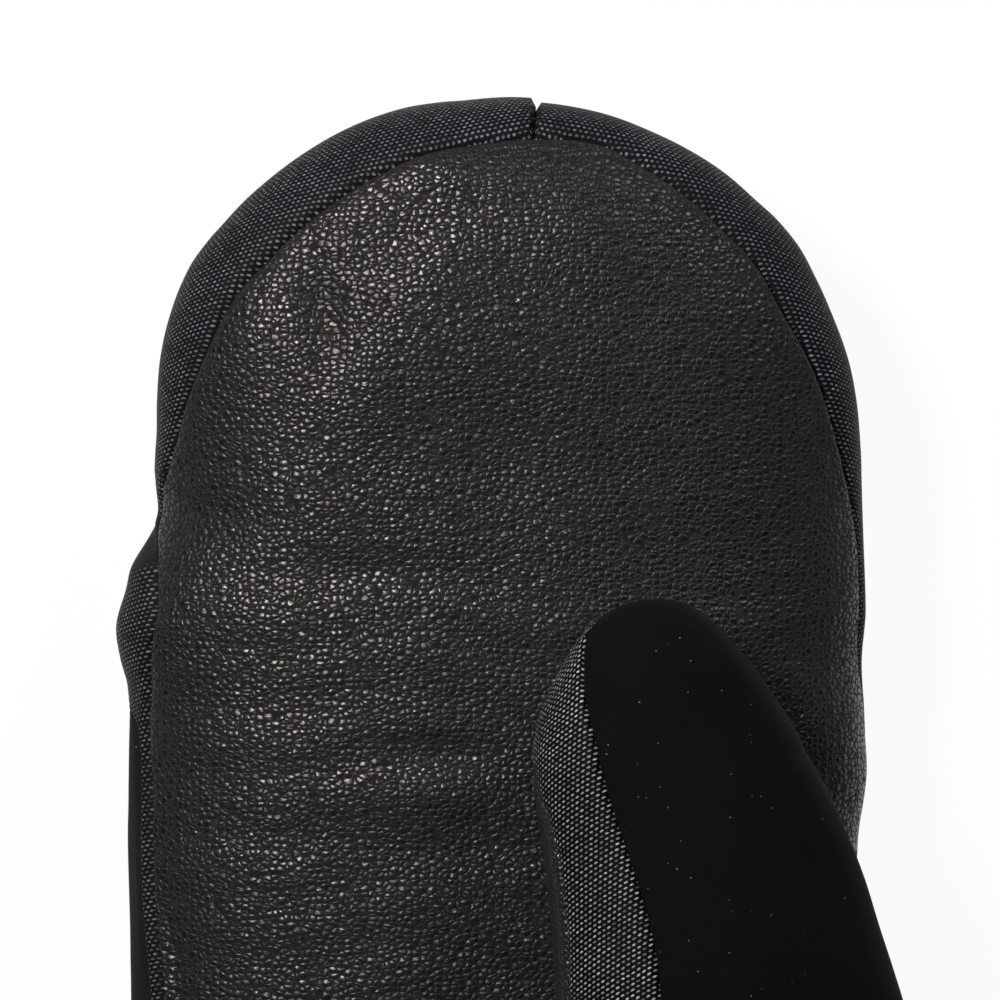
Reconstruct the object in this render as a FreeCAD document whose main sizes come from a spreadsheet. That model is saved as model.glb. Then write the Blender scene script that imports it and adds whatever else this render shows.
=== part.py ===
"""Insulated right-hand ski mitten, lying on its back with the palm up.

Frame: +Y points from the cuff to the fingertips, +X to the thumb side, +Z out of the palm.
The origin is on the flat rest patch under the back of the hand. Lengths are millimetres.

The mitten is a stack of nested soft forms. Each form is a loft through cross-sections, and
level 0 is the outside of the skin, 1 the outside of the wadding, 2 of the membrane, 3 of the
lining and 4 the cavity. A layer is one form less the next, and a panel is a layer inside a region.
"""

import FreeCAD, Part
import math
import os
import re
import Sketcher

Vector = FreeCAD.Vector

# ---------------------------------------------------------------- driving dimensions

SIZES = {
    # lengthways stations, measured along +Y from the middle of the rest patch
    "tip_y": 120.0,  # fingertips
    "shoulder_y": 58.0,  # where the fingertip rounding starts
    "crease_y": 46.0,  # knuckle crease, where the finger part bends
    "fold_y": 31.0,  # fullest point of the knuckle fold on the little-finger side
    "fold_end_y": 20.0,  # seam between knuckle nylon and softshell
    "heel_y": -58.0,  # heel of the palm
    "wrist_y": -109.0,  # where the cuff bends
    "hem_y": -180.0,  # open end of the cuff
    # half widths and heights of the outside
    "finger_half_width": 58.5,
    "fold_half_width": 65.5,
    "heel_half_width": 63.3,
    "wrist_half_width": 53.0,
    "hem_half_width": 63.0,
    "palm_height": 46.0,
    "wrist_height": 42.0,
    "wrist_lift": 2.0,
    "hem_height": 52.0,
    "hem_lift": 1.6,
    "back_sink": 0.5,  # how far the back would bulge below its flat rest patch
    "finger_lift": 3.0,  # rise of the back at the shoulder station
    "tip_rise": 4.5,  # further rise of the finger axis at the fingertips
    "crown_power": 2.6,  # roundness of a cross-section: 2 is an ellipse
    "tip_power_little": 2.4,
    "tip_power_index": 2.0,
    "tip_power_thick": 3.2,
    # thumb, folded over the palm
    "thumb_tip_y": 36.7,
    "thumb_shoulder_y": 3.0,
    "thumb_mid_y": -30.0,
    "thumb_root_y": -45.0,  # where the thumb bends
    "thumb_end_y": -85.0,  # inner end of the thumb form, inside the hand
    "thumb_tip_x": 23.3,
    "thumb_shoulder_x": 28.9,
    "thumb_mid_x": 37.5,
    "thumb_root_x": 41.0,
    "thumb_end_x": 30.0,
    "thumb_shoulder_half_width": 24.4,
    "thumb_root_half_width": 28.2,
    "thumb_end_half_width": 15.0,
    "thumb_shoulder_half_height": 15.0,
    "thumb_root_half_height": 17.0,
    "thumb_end_half_height": 12.0,
    "thumb_end_z": 25.0,
    "thumb_over_palm": 1.2,  # gap between the palm and the thumb above it
    "thumb_power": 2.3,
    "thumb_tip_power": 1.7,
    # layers
    "skin": 1.4,
    "palm_wadding": 3.2,
    "back_wadding": 6.5,
    "side_wadding": 4.5,
    "thumb_wadding": 3.0,
    "cuff_wadding": 3.0,
    "membrane": 0.5,
    "lining": 1.6,
    # seams between the panels of the skin
    "palm_seam_little_z": 33.0,
    "palm_seam_index_z": 21.0,
    "palm_seam_shoulder_z": 33.0,
    "palm_seam_tip_z": 43.5,
    "palm_seam_tip_y": 100.0,
    "back_seam_z": 14.0,
    "back_seam_cuff_z": 27.0,
    "back_seam_tip_z": 17.0,
    "tip_seam_x": 4.2,
    "thumb_seam_shoulder_x": 15.5,
    "thumb_seam_root_x": 25.5,
    "thumb_seam_tip_x": 12.5,
    "thumb_under_finger_z": 65.5,
    "thumb_under_outer_z": 59.0,
    "joint_gap": 0.3,  # running gap between two parts that bend against each other
    "hinge_rise": 1.0,  # height of a bend axis above the palm side
    # wrist strap, palm side
    "strap_margin": 5.0,  # from the cuff's bend to the strap's edge
    "strap_width": 18.0,
    "strap_thick": 1.4,
    "strap_gap": 0.3,
    "strap_anchor_x": 45.0,
    "strap_return": 56.0,  # length of the part that folds back from the ring
    "tape_thick": 0.8,
    "tape_inset": 1.0,  # from the strap's edge to a tape's edge
    "loop_tape_length": 52.0,
    "hook_tape_length": 26.0,
    "tape_clear": 8.0,  # from the ring's bar to the loop tape
    "tab_length": 20.0,
    "tab_overhang": 10.0,
    "tab_thick": 1.8,
    "tab_width": 12.0,
    "ring_x": -30.0,
    "ring_wire": 2.6,
    "ring_span": 9.0,
    "ring_corner": 2.4,
    "ring_side_gap": 0.8,  # between the strap's edge and the ring
    "bar_gap": 0.2,
    "keeper_thick": 1.2,
    "keeper_length": 10.0,
    # wrist elastic, in a pocket of the wadding at the back
    "elastic_half_length": 36.0,
    "elastic_width": 12.0,
    "elastic_thick": 1.0,
    "elastic_gap": 0.4,
    # hem binding and pull loop
    "binding_thick": 1.2,
    "binding_depth": 12.0,
    "binding_gap": 0.2,
    "pull_x": -12.0,
    "pull_width": 12.0,
    "pull_length": 34.0,
    "pull_height": 8.4,
    "pull_thick": 1.2,
}

doc = FreeCAD.newDocument("SkiMitten")
sheet = doc.addObject("Spreadsheet::Sheet", "Sizes")
for row, (alias, value) in enumerate(SIZES.items(), start=1):
    sheet.set(f"A{row}", alias)
    sheet.set(f"B{row}", str(value))
    sheet.setAlias(f"B{row}", alias)
doc.recompute()

ALIAS = re.compile(r"\b(" + "|".join(sorted(SIZES, key=len, reverse=True)) + r")\b")


def size(alias):
    """The number that a cell of the sheet holds."""
    return float(sheet.get(alias))


def bound(text):
    """A formula in plain size names, as an expression that reads the sheet."""
    return ALIAS.sub(r"Sizes.\1", text)


def bind(item, **formulas):
    """Binds properties of a document object to formulas in size names."""
    for name, text in formulas.items():
        item.setExpression(name, bound(text))


# ---------------------------------------------------------------- soft forms

SECTION_POINTS = 12  # points on one cross-section
FIRST_POINT = 0.5  # where the first point stands, in steps up from +X
CUFF_FIRST_POINT = -1.5  # the same on the cuff: under its back, clear of the seams between panels
OVERSHOOT = 1.0  # how far a cutting form reaches past what it cuts
STATION_STEP = 12.0  # about how far apart the cross-sections stand
TIP_STATIONS = 7  # cross-sections in a rounded tip
WIDE = 400.0  # reach of a cutting region past the mitten

JOINT_GAP = size("joint_gap")
STRAP_LOW = size("wrist_y") + size("strap_margin")
STRAP_HIGH = STRAP_LOW + size("strap_width")
STRAP_MIDDLE = (STRAP_LOW + STRAP_HIGH) / 2


def section_curve(y, centre_x, left, right, bottom, top, power, first=FIRST_POINT):
    """A closed cross-section at y: a superellipse with its own half width on each side."""
    middle, half = (bottom + top) / 2, (top - bottom) / 2
    points = []
    for i in range(SECTION_POINTS):
        turn = 2 * math.pi * (i + first) / SECTION_POINTS
        across, up = math.cos(turn), math.sin(turn)
        reach = right if across > 0 else left
        x = centre_x + math.copysign(reach * abs(across) ** (2 / power), across)
        z = middle + math.copysign(half * abs(up) ** (2 / power), up)
        points.append(Vector(x, y, z))
    curve = Part.BSplineCurve()
    curve.interpolate(Points=points, PeriodicFlag=True)
    return curve


def section(*values):
    """The same cross-section as a wire, for a loft."""
    return Part.Wire(section_curve(*values).toShape())


def eased(y, knots):
    """Values between knots of (y, values...), with a smooth step from each knot to the next."""
    if y <= knots[0][0]:
        return knots[0][1:]
    for low, high in zip(knots, knots[1:]):
        if y <= high[0]:
            share = (y - low[0]) / (high[0] - low[0])
            share = share * share * (3 - 2 * share)
            return [a + (b - a) * share for a, b in zip(low[1:], high[1:])]
    return knots[-1][1:]


def stations(low, high):
    """Evenly spaced y values from low to high, both included."""
    count = max(2, math.ceil((high - low) / STATION_STEP))
    return [low + (high - low) * i / count for i in range(count + 1)]


def roundness(share, power):
    """Height of a unit superellipse at a share of its length."""
    return (1 - share**power) ** (1 / power)


def levels(side_wadding, palm_wadding, back_wadding):
    """Insets (side, palm side, back) of the five levels, from the outside to the cavity."""
    steps = [
        (size("skin"),) * 3,
        (side_wadding, palm_wadding, back_wadding),
        (size("membrane"),) * 3,
        (size("lining"),) * 3,
    ]
    rows = [(0.0, 0.0, 0.0)]
    for step in steps:
        rows.append(tuple(a + b for a, b in zip(rows[-1], step)))
    return rows


HAND_LEVELS = levels(size("side_wadding"), size("palm_wadding"), size("back_wadding"))
THUMB_LEVELS = levels(*[size("thumb_wadding")] * 3)
CUFF_WADDING = size("skin") + size("cuff_wadding")
CUFF_WALL = CUFF_WADDING + size("lining")

BACK = -size("back_sink")
PALM = size("palm_height")
FINGER = size("finger_half_width")
WRIST = (size("wrist_half_width"),) * 2 + (size("wrist_lift"), size("wrist_height"))
BODY_KNOTS = [  # y, left, right, bottom, top of the outside
    (size("hem_y"), size("hem_half_width"), size("hem_half_width"), size("hem_lift"), size("hem_height")),
    (STRAP_LOW, *WRIST),
    (STRAP_HIGH, *WRIST),
    (size("heel_y"), size("heel_half_width"), FINGER, BACK, PALM),
    (size("fold_end_y"), size("heel_half_width"), FINGER, BACK, PALM),
    (size("fold_y"), size("fold_half_width"), FINGER, BACK, PALM),
    (size("crease_y"), FINGER, FINGER, 0, PALM),
    (size("shoulder_y"), FINGER, FINGER, size("finger_lift"), PALM),
]


def body_curve(y, inset, first=FIRST_POINT):
    """Cross-section of the hand or cuff at y, shrunk by the inset (side, palm, back)."""
    side, palm, back = inset
    left, right, bottom, top = eased(y, BODY_KNOTS)
    low, high = bottom + back, top - palm
    return section_curve(y, 0, left - side, right - side, low, high, size("crown_power"), first)


def body_form(low, high, inset, first=FIRST_POINT):
    """A length of the hand or cuff, closed by flat ends."""
    wires = [Part.Wire(body_curve(y, inset, first).toShape()) for y in stations(low, high)]
    return Part.makeLoft(wires, True, False)


def finger_form(inset):
    """The finger part, from the knuckle crease to its rounded tip."""
    side, palm, back = inset
    shoulder, length = size("shoulder_y"), size("tip_y") - size("shoulder_y") - side
    bottom, top = size("finger_lift") + back, PALM - palm
    wires = [Part.Wire(body_curve(size("crease_y") + JOINT_GAP, inset).toShape())]
    for i in range(TIP_STATIONS):
        share = math.sin(math.pi / 2 * i / TIP_STATIONS)
        middle = (bottom + top) / 2 + size("tip_rise") * share
        half = (top - bottom) / 2 * roundness(share, size("tip_power_thick"))
        left = (FINGER - side) * roundness(share, size("tip_power_little"))
        right = (FINGER - side) * roundness(share, size("tip_power_index"))
        y = shoulder + length * share
        wires.append(section(y, 0, left, right, middle - half, middle + half, size("crown_power")))
    pole = Vector(0, shoulder + length, (bottom + top) / 2 + size("tip_rise"))
    return Part.makeLoft([*wires, Part.Vertex(pole)], True, False)


ROOT_Z = PALM + size("thumb_over_palm") + size("thumb_root_half_height")
THUMB_KNOTS = [  # y, centre x, half width, centre z, half height of the outside
    (
        size("thumb_end_y"),
        size("thumb_end_x"),
        size("thumb_end_half_width"),
        size("thumb_end_z"),
        size("thumb_end_half_height"),
    ),
    (
        size("thumb_root_y"),
        size("thumb_root_x"),
        size("thumb_root_half_width"),
        ROOT_Z,
        size("thumb_root_half_height"),
    ),
    (
        size("thumb_mid_y"),
        size("thumb_mid_x"),
        size("thumb_root_half_width"),
        ROOT_Z,
        size("thumb_root_half_height"),
    ),
    (
        size("thumb_shoulder_y"),
        size("thumb_shoulder_x"),
        size("thumb_shoulder_half_width"),
        ROOT_Z,
        size("thumb_shoulder_half_height"),
    ),
]


def thumb_section(y, inset):
    """Cross-section of the thumb at y, shrunk by the inset."""
    centre_x, half_width, centre_z, half = eased(y, THUMB_KNOTS)
    width, height = half_width - inset[0], half - inset[1]
    return section(
        y, centre_x, width, width, centre_z - height, centre_z + height, size("thumb_power")
    )


def thumb_root_form(inset):
    """The root of the thumb, from inside the hand to where the thumb bends."""
    wires = [thumb_section(y, inset) for y in stations(size("thumb_end_y"), size("thumb_root_y"))]
    return Part.makeLoft(wires, True, False)


def thumb_form(inset):
    """The free thumb, from where it bends to its rounded tip."""
    shoulder, length = size("thumb_shoulder_y"), size("thumb_tip_y") - size("thumb_shoulder_y") - inset[0]
    spans = stations(size("thumb_root_y") + JOINT_GAP, shoulder)
    wires = [thumb_section(y, inset) for y in spans[:-1]]
    for i in range(TIP_STATIONS):
        share = math.sin(math.pi / 2 * i / TIP_STATIONS)
        lean = (size("thumb_shoulder_x") - size("thumb_tip_x")) * (1 - share) ** 2
        centre_x = size("thumb_tip_x") + lean
        width = (size("thumb_shoulder_half_width") - inset[0]) * roundness(share, size("thumb_tip_power"))
        height = (size("thumb_shoulder_half_height") - inset[1]) * roundness(share, size("thumb_power"))
        y = shoulder + length * share
        low, high = ROOT_Z - height, ROOT_Z + height
        wires.append(section(y, centre_x, width, width, low, high, size("thumb_power")))
    pole = Vector(size("thumb_tip_x"), shoulder + length, ROOT_Z)
    return Part.makeLoft([*wires, Part.Vertex(pole)], True, False)


def strip(y_span, x_span, outset_span, palm_side=True):
    """A band of webbing that follows the body: from one x to another, between two outsets."""
    wires = []
    for y in stations(*y_span):
        corners, edges = [], []
        for outset in outset_span:
            curve = body_curve(y, (-outset,) * 3)
            _, _, bottom, top = eased(y, BODY_KNOTS)
            height = top + outset if palm_side else bottom - outset
            ends = [curve.parameter(Vector(x, y, height)) for x in x_span]
            edges.append(curve.toShape(min(ends), max(ends)))
            corners.append([curve.value(min(ends)), curve.value(max(ends))])
        closing = [Part.makeLine(corners[0][i], corners[1][i]) for i in (0, 1)]
        wires.append(Part.Wire(Part.__sortEdges__([edges[0], closing[1], edges[1], closing[0]])))
    return Part.makeLoft(wires, True, False)


def palm_point(x, y, outset):
    """The point above x and y on the palm side, at an outset from the surface."""
    curve = body_curve(y, (-outset,) * 3)
    _, _, _, top = eased(y, BODY_KNOTS)
    return curve.value(curve.parameter(Vector(x, y, top + outset)))


# ---------------------------------------------------------------- tree helpers


def stock(name, shape):
    """A shape that later features cut."""
    item = doc.addObject("Part::Feature", name)
    item.Shape = shape
    return item


def without(name, base, tool):
    item = doc.addObject("Part::Cut", name)
    item.Base, item.Tool = base, tool
    return item


def within(name, base, tool):
    item = doc.addObject("Part::Common", name)
    item.Base, item.Tool = base, tool
    return item


def joined(name, *shapes):
    item = doc.addObject("Part::MultiFuse", name)
    item.Shapes = list(shapes)
    return item


def region(name, x=None, y=None, z=None):
    """A box between formulas (low, high) on each axis; an axis left out reaches past everything."""
    box = doc.addObject("Part::Box", name)
    for axis, side, span in (("x", "Length", x), ("y", "Width", y), ("z", "Height", z)):
        low, high = span or (None, None)
        low, high = low or f"-{WIDE}", high or f"{WIDE}"
        box.setExpression(f".Placement.Base.{axis}", bound(f"({low}) * 1mm"))
        box.setExpression(side, bound(f"(({high}) - ({low})) * 1mm"))
    return box


def height_region(name, knots, above):
    """Everything above or below a ruled surface through knots of (y, left z, right z)."""
    limit = WIDE if above else -WIDE
    wires = []
    for y, left_z, right_z in knots:
        ends = [(-WIDE, left_z), (WIDE, right_z), (WIDE, limit), (-WIDE, limit), (-WIDE, left_z)]
        wires.append(Part.makePolygon([Vector(x, y, z) for x, z in ends]))
    return stock(name, Part.makeLoft(wires, True, True))


def left_region(name, knots):
    """Everything on the low-x side of an upright wall through knots of (y, x)."""
    low_y, high_y = knots[0][0], knots[-1][0]
    outline = [(x, y) for y, x in knots] + [(-WIDE, high_y), (-WIDE, low_y)]
    points = [Vector(x, y, -WIDE) for x, y in [*outline, outline[0]]]
    return stock(name, Part.Face(Part.makePolygon(points)).extrude(Vector(0, 0, 2 * WIDE)))


NODES = []


def node(label, item):
    """Marks a document object as one finished piece of the mitten."""
    item.Label = label
    NODES.append(item)
    return item


def layers(prefix, forms, names):
    """The layers between nested forms, outermost first, each as a cut in the tree."""
    return [without(f"{prefix}_{n}", a, b) for n, a, b in zip(names, forms, forms[1:])]


LAYER_NAMES = ("skin", "wadding", "membrane", "lining")

# ---------------------------------------------------------------- seams between panels

FAR_Y = WIDE
INDEX_Z, LITTLE_Z = size("palm_seam_index_z"), size("palm_seam_little_z")
palm_region = height_region(
    "PalmRegion",
    [
        (-FAR_Y, LITTLE_Z, INDEX_Z),
        (size("fold_end_y"), LITTLE_Z, INDEX_Z),
        (size("shoulder_y"), size("palm_seam_shoulder_z"), size("palm_seam_shoulder_z")),
        (size("palm_seam_tip_y"), size("palm_seam_tip_z"), size("palm_seam_tip_z")),
        (FAR_Y, size("palm_seam_tip_z"), size("palm_seam_tip_z")),
    ],
    above=True,
)
SEAM_RUN = 6.0  # length over which the little-finger back seam climbs past the knuckle fold
back_region = height_region(
    "BackRegion",
    [
        (-FAR_Y, size("back_seam_cuff_z"), size("back_seam_z")),
        (size("fold_end_y"), size("back_seam_cuff_z"), size("back_seam_z")),
        (size("fold_end_y") + SEAM_RUN, size("back_seam_z"), size("back_seam_z")),
        (size("shoulder_y"), size("back_seam_z"), size("back_seam_z")),
        (size("palm_seam_tip_y"), size("back_seam_tip_z"), size("back_seam_tip_z")),
        (FAR_Y, size("back_seam_tip_z"), size("back_seam_tip_z")),
    ],
    above=False,
)
little_side = region("LittleFingerSide", x=(None, "0"))
tip_little_side = region("TipLittleFingerSide", x=(None, "tip_seam_x"))
above_floor = region("AboveFloor", z=("0", None))


def panels(prefix, skin, little, back_label):
    """Splits a skin into its palm panel, two sidewalls and back panel."""
    palm = within(f"{prefix}_palm_panel", skin, palm_region)
    rest = without(f"{prefix}_below_palm", skin, palm_region)
    back = within(back_label, rest, back_region)
    band = without(f"{prefix}_band", rest, back_region)
    node(f"{prefix}_little_sidewall", within(f"{prefix}_little_sidewall", band, little))
    node(f"{prefix}_index_sidewall", without(f"{prefix}_index_sidewall", band, little))
    return palm, back


# ---------------------------------------------------------------- finger part

finger_forms = [stock(f"FingerForm{i}", finger_form(inset)) for i, inset in enumerate(HAND_LEVELS)]
skin, wadding, membrane, lining = layers("FingerLayer", finger_forms, LAYER_NAMES)
finger_palm, finger_back = panels("finger", skin, tip_little_side, "finger_back_nylon")
node("finger_palm_leather", finger_palm)
node("finger_back_nylon", finger_back)
node("finger_wadding", wadding)
node("finger_membrane", membrane)
node("finger_lining", lining)

# ---------------------------------------------------------------- hand with the thumb's root

hand_forms = []
for i, (inset, thumb_inset) in enumerate(zip(HAND_LEVELS, THUMB_LEVELS)):
    palm = stock(f"PalmForm{i}", body_form(size("wrist_y"), size("crease_y"), inset))
    root = stock(f"ThumbRootForm{i}", thumb_root_form(thumb_inset))
    hand_forms.append(joined(f"HandForm{i}", palm, root))
hand_forms[0] = within("HandOnFloor", hand_forms[0], above_floor)
skin, wadding, membrane, lining = layers("HandLayer", hand_forms, LAYER_NAMES)
hand_palm, hand_back = panels("hand", skin, little_side, "hand_back")
thumb_root = region(
    "ThumbRootRegion", z=("max(palm_height; wrist_height) + thumb_over_palm / 2", None)
)
node("palm_leather", without("palm_leather", hand_palm, thumb_root))
node("thumb_root_softshell", within("thumb_root_softshell", hand_palm, thumb_root))
knuckle = region("KnuckleRegion", y=("fold_end_y", None))
node("knuckle_nylon", within("knuckle_nylon", hand_back, knuckle))
node("back_softshell", without("back_softshell", hand_back, knuckle))

ELASTIC_TOP = -(size("skin") + size("elastic_gap"))
ELASTIC_BOTTOM = ELASTIC_TOP - size("elastic_thick")
ELASTIC_Y = [STRAP_MIDDLE + side * size("elastic_width") / 2 for side in (-1, 1)]
ELASTIC_X = [side * size("elastic_half_length") for side in (-1, 1)]
elastic = stock(
    "wrist_elastic", strip(ELASTIC_Y, ELASTIC_X, (ELASTIC_BOTTOM, ELASTIC_TOP), palm_side=False)
)
pocket = stock("ElasticPocket", strip(ELASTIC_Y, ELASTIC_X, (ELASTIC_BOTTOM, 0), palm_side=False))
node("wrist_elastic", elastic)
node("hand_wadding", without("hand_wadding", wadding, pocket))
node("hand_membrane", membrane)
node("hand_lining", lining)

# ---------------------------------------------------------------- thumb

thumb_forms = [stock(f"ThumbForm{i}", thumb_form(inset)) for i, inset in enumerate(THUMB_LEVELS)]
skin, wadding, membrane, lining = layers("ThumbLayer", thumb_forms, LAYER_NAMES)
under_thumb = height_region(
    "UnderThumb",
    [(y, size("thumb_under_finger_z"), size("thumb_under_outer_z")) for y in (-FAR_Y, FAR_Y)],
    above=False,
)
finger_side = left_region(
    "ThumbFingerSide",
    [
        (-FAR_Y, size("thumb_seam_root_x")),
        (size("thumb_mid_y"), size("thumb_seam_root_x")),
        (size("thumb_shoulder_y"), size("thumb_seam_shoulder_x")),
        (size("thumb_tip_y"), size("thumb_seam_tip_x")),
        (FAR_Y, size("thumb_seam_tip_x")),
    ],
)
node("thumb_leather", within("thumb_leather", skin, under_thumb))
upper = without("thumb_upper", skin, under_thumb)
node("thumb_nylon", within("thumb_nylon", upper, finger_side))
node("thumb_softshell", without("thumb_softshell", upper, finger_side))
node("thumb_wadding", wadding)
node("thumb_membrane", membrane)
node("thumb_lining", lining)

# ---------------------------------------------------------------- cuff

CUFF_END = size("wrist_y") - JOINT_GAP
cuff_forms = [
    stock(f"CuffForm{i}", body_form(size("hem_y"), CUFF_END, (inset,) * 3, CUFF_FIRST_POINT))
    for i, inset in enumerate((0, size("skin"), CUFF_WADDING, CUFF_WALL))
]
skin, wadding, lining = layers("CuffLayer", cuff_forms, ("skin", "wadding", "lining"))
node("cuff_palm_nylon", within("cuff_palm_nylon", skin, palm_region))
node("cuff_back_softshell", without("cuff_back_softshell", skin, palm_region))
node("cuff_wadding", wadding)
node("cuff_lining", lining)

HEM = size("hem_y")
BINDING_TOP = HEM + size("binding_depth")
BINDING_GAP, BINDING = size("binding_gap"), size("binding_thick")
BINDING_END = HEM - BINDING_GAP - BINDING
SLOT_END, SLOT_TOP = HEM - BINDING_GAP - OVERSHOOT, BINDING_TOP + OVERSHOOT


def hem_form(name, low, high, outset):
    return stock(name, body_form(low, high, (-outset,) * 3, CUFF_FIRST_POINT))


binding_ring = without(
    "BindingRing",
    hem_form("BindingOutside", BINDING_END, BINDING_TOP, BINDING_GAP + BINDING),
    hem_form("BindingInside", BINDING_END - OVERSHOOT, SLOT_TOP, -CUFF_WALL - BINDING_GAP - BINDING),
)
binding_slot = without(
    "BindingSlot",
    hem_form("SlotOutside", HEM - BINDING_GAP, SLOT_TOP, BINDING_GAP),
    hem_form("SlotInside", SLOT_END, SLOT_TOP + OVERSHOOT, -CUFF_WALL - BINDING_GAP),
)
node("hem_binding", without("hem_binding", binding_ring, binding_slot))

# ---------------------------------------------------------------- wrist strap

BAR_RADIUS = size("ring_wire") / 2
BAR_HOLE = BAR_RADIUS + size("bar_gap")
STRAP_GAP, STRAP_THICK, TAPE = size("strap_gap"), size("strap_thick"), size("tape_thick")
TURN_RADIUS = BAR_HOLE + STRAP_THICK  # outside of the strap's turn round the ring's bar
LOOP_TAPE = STRAP_GAP + STRAP_THICK  # undersides of the layers, as outsets from the skin
HOOK_TAPE = LOOP_TAPE + TAPE + JOINT_GAP
STRAP_RETURN = HOOK_TAPE + TAPE
PULL_TAB = STRAP_RETURN + STRAP_THICK
STRAP_Y = (STRAP_LOW, STRAP_HIGH)
TAPE_Y = (STRAP_LOW + size("tape_inset"), STRAP_HIGH - size("tape_inset"))
RING_X = size("ring_x")
TAPE_X = RING_X + size("tape_clear")
RETURN_X = RING_X + size("strap_return")
TAB_Y = [STRAP_MIDDLE + side * size("tab_width") / 2 for side in (-1, 1)]
TAB_X = RETURN_X + size("tab_overhang")


def webbing(label, y_span, x_span, outset_span):
    """A finished piece of tape or webbing that follows the body."""
    return node(label, stock(label, strip(y_span, x_span, outset_span)))


def rod_space(name, centre, radius, extra=0.0):
    """A round bar along Y over the strap's width, longer by the extra at each end."""
    rod = doc.addObject("Part::Cylinder", name)
    rod.Placement = FreeCAD.Placement(
        Vector(centre.x, STRAP_LOW - extra, centre.z), FreeCAD.Rotation(Vector(1, 0, 0), -90)
    )
    rod.Radius = radius
    rod.Height = size("strap_width") + 2 * extra
    return rod


def looped_webbing(label, flat, centre, outer_radius):
    """Webbing that goes round a bar: a flat run and a tube in one piece, less the bar's hole."""
    tube = rod_space(f"{label}_turn", centre, outer_radius)
    hole = rod_space(f"{label}_hole", centre, BAR_HOLE, extra=OVERSHOOT)
    return node(label, without(label, joined(f"{label}_blank", flat, tube), hole))


KEEPER_THICK = size("keeper_thick")
KEEPER_RADIUS = BAR_HOLE + KEEPER_THICK
KEEPER_BAR_X = RING_X - size("ring_span")
strap_bar = palm_point(RING_X, STRAP_MIDDLE, STRAP_GAP + TURN_RADIUS)
keeper_bar = palm_point(KEEPER_BAR_X, STRAP_MIDDLE, STRAP_GAP + KEEPER_RADIUS)

STRAP_X = (RING_X + TURN_RADIUS + STRAP_GAP, size("strap_anchor_x"))
webbing("wrist_strap", STRAP_Y, STRAP_X, (STRAP_GAP, LOOP_TAPE))
LOOP_X = (TAPE_X, TAPE_X + size("loop_tape_length"))
webbing("strap_loop_tape", TAPE_Y, LOOP_X, (LOOP_TAPE, LOOP_TAPE + TAPE))
HOOK_X = (RETURN_X - size("hook_tape_length"), RETURN_X)
webbing("strap_hook_tape", TAPE_Y, HOOK_X, (HOOK_TAPE, STRAP_RETURN))
TAB_SPAN = (TAB_X - size("tab_length"), TAB_X)
webbing("strap_pull_tab", TAB_Y, TAB_SPAN, (PULL_TAB, PULL_TAB + size("tab_thick")))
RETURN_START = RING_X + TURN_RADIUS - STRAP_THICK / 2
flat = stock("StrapReturn", strip(STRAP_Y, (RETURN_START, RETURN_X), (STRAP_RETURN, PULL_TAB)))
looped_webbing("strap_end", flat, strap_bar, TURN_RADIUS)
KEEPER_X = (KEEPER_BAR_X - KEEPER_RADIUS - size("keeper_length"), KEEPER_BAR_X - BAR_RADIUS / 2)
flat = stock("KeeperFlat", strip(STRAP_Y, KEEPER_X, (STRAP_GAP, STRAP_GAP + KEEPER_THICK)))
looped_webbing("ring_keeper", flat, keeper_bar, KEEPER_RADIUS)


def sketch_on(body, name, role):
    """An empty sketch on one of the body's own origin planes."""
    sketch = body.newObject("Sketcher::SketchObject", name)
    plane = next(f for f in body.Origin.OriginFeatures if f.Role == role)
    sketch.AttachmentSupport = [(plane, "")]
    sketch.MapMode = "FlatFace"
    return sketch


def constrain(sketch, name, formula, *constraint):
    """Adds a named constraint whose value is a formula."""
    index = sketch.addConstraint(Sketcher.Constraint(*constraint))
    sketch.renameConstraint(index, name)
    sketch.setExpression(f"Constraints.{name}", bound(formula))


def line(sketch, x1, y1, x2, y2):
    return sketch.addGeometry(Part.LineSegment(Vector(x1, y1), Vector(x2, y2)), False)


def arc(sketch, x, y, radius, start, end):
    circle = Part.Circle(Vector(x, y), Vector(0, 0, 1), radius)
    return sketch.addGeometry(Part.ArcOfCircle(circle, start, end), False)


def rounded_rectangle(sketch, half_x, half_y, radius, formulas):
    """A rounded rectangle about the origin; formulas give its half lengths and corner radius."""
    inner_x, inner_y, quarter = half_x - radius, half_y - radius, math.pi / 2
    sides = [
        line(sketch, -inner_x, -half_y, inner_x, -half_y),
        line(sketch, half_x, -inner_y, half_x, inner_y),
        line(sketch, inner_x, half_y, -inner_x, half_y),
        line(sketch, -half_x, inner_y, -half_x, -inner_y),
    ]
    corners = [
        arc(sketch, x, y, radius, quarter * (i + 3), quarter * (i + 4))
        for i, (x, y) in enumerate(
            [(inner_x, -inner_y), (inner_x, inner_y), (-inner_x, inner_y), (-inner_x, -inner_y)]
        )
    ]
    for i, corner in enumerate(corners):
        sketch.addConstraint(Sketcher.Constraint("Tangent", sides[i], 2, corner, 1))
        sketch.addConstraint(Sketcher.Constraint("Tangent", corner, 2, sides[(i + 1) % 4], 1))
        sketch.addConstraint(Sketcher.Constraint("Horizontal" if i % 2 == 0 else "Vertical", sides[i]))
    for corner in corners[1:]:
        sketch.addConstraint(Sketcher.Constraint("Equal", corners[0], corner))
    x_formula, y_formula, radius_formula = formulas
    constrain(sketch, "corner", radius_formula, "Radius", corners[0], radius)
    constrain(sketch, "right", x_formula, "DistanceX", -1, 1, sides[1], 1, half_x)
    constrain(sketch, "left", x_formula, "DistanceX", sides[3], 1, -1, 1, half_x)
    constrain(sketch, "upper", y_formula, "DistanceY", -1, 1, sides[2], 1, half_y)
    constrain(sketch, "lower", y_formula, "DistanceY", sides[0], 1, -1, 1, half_y)


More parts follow.
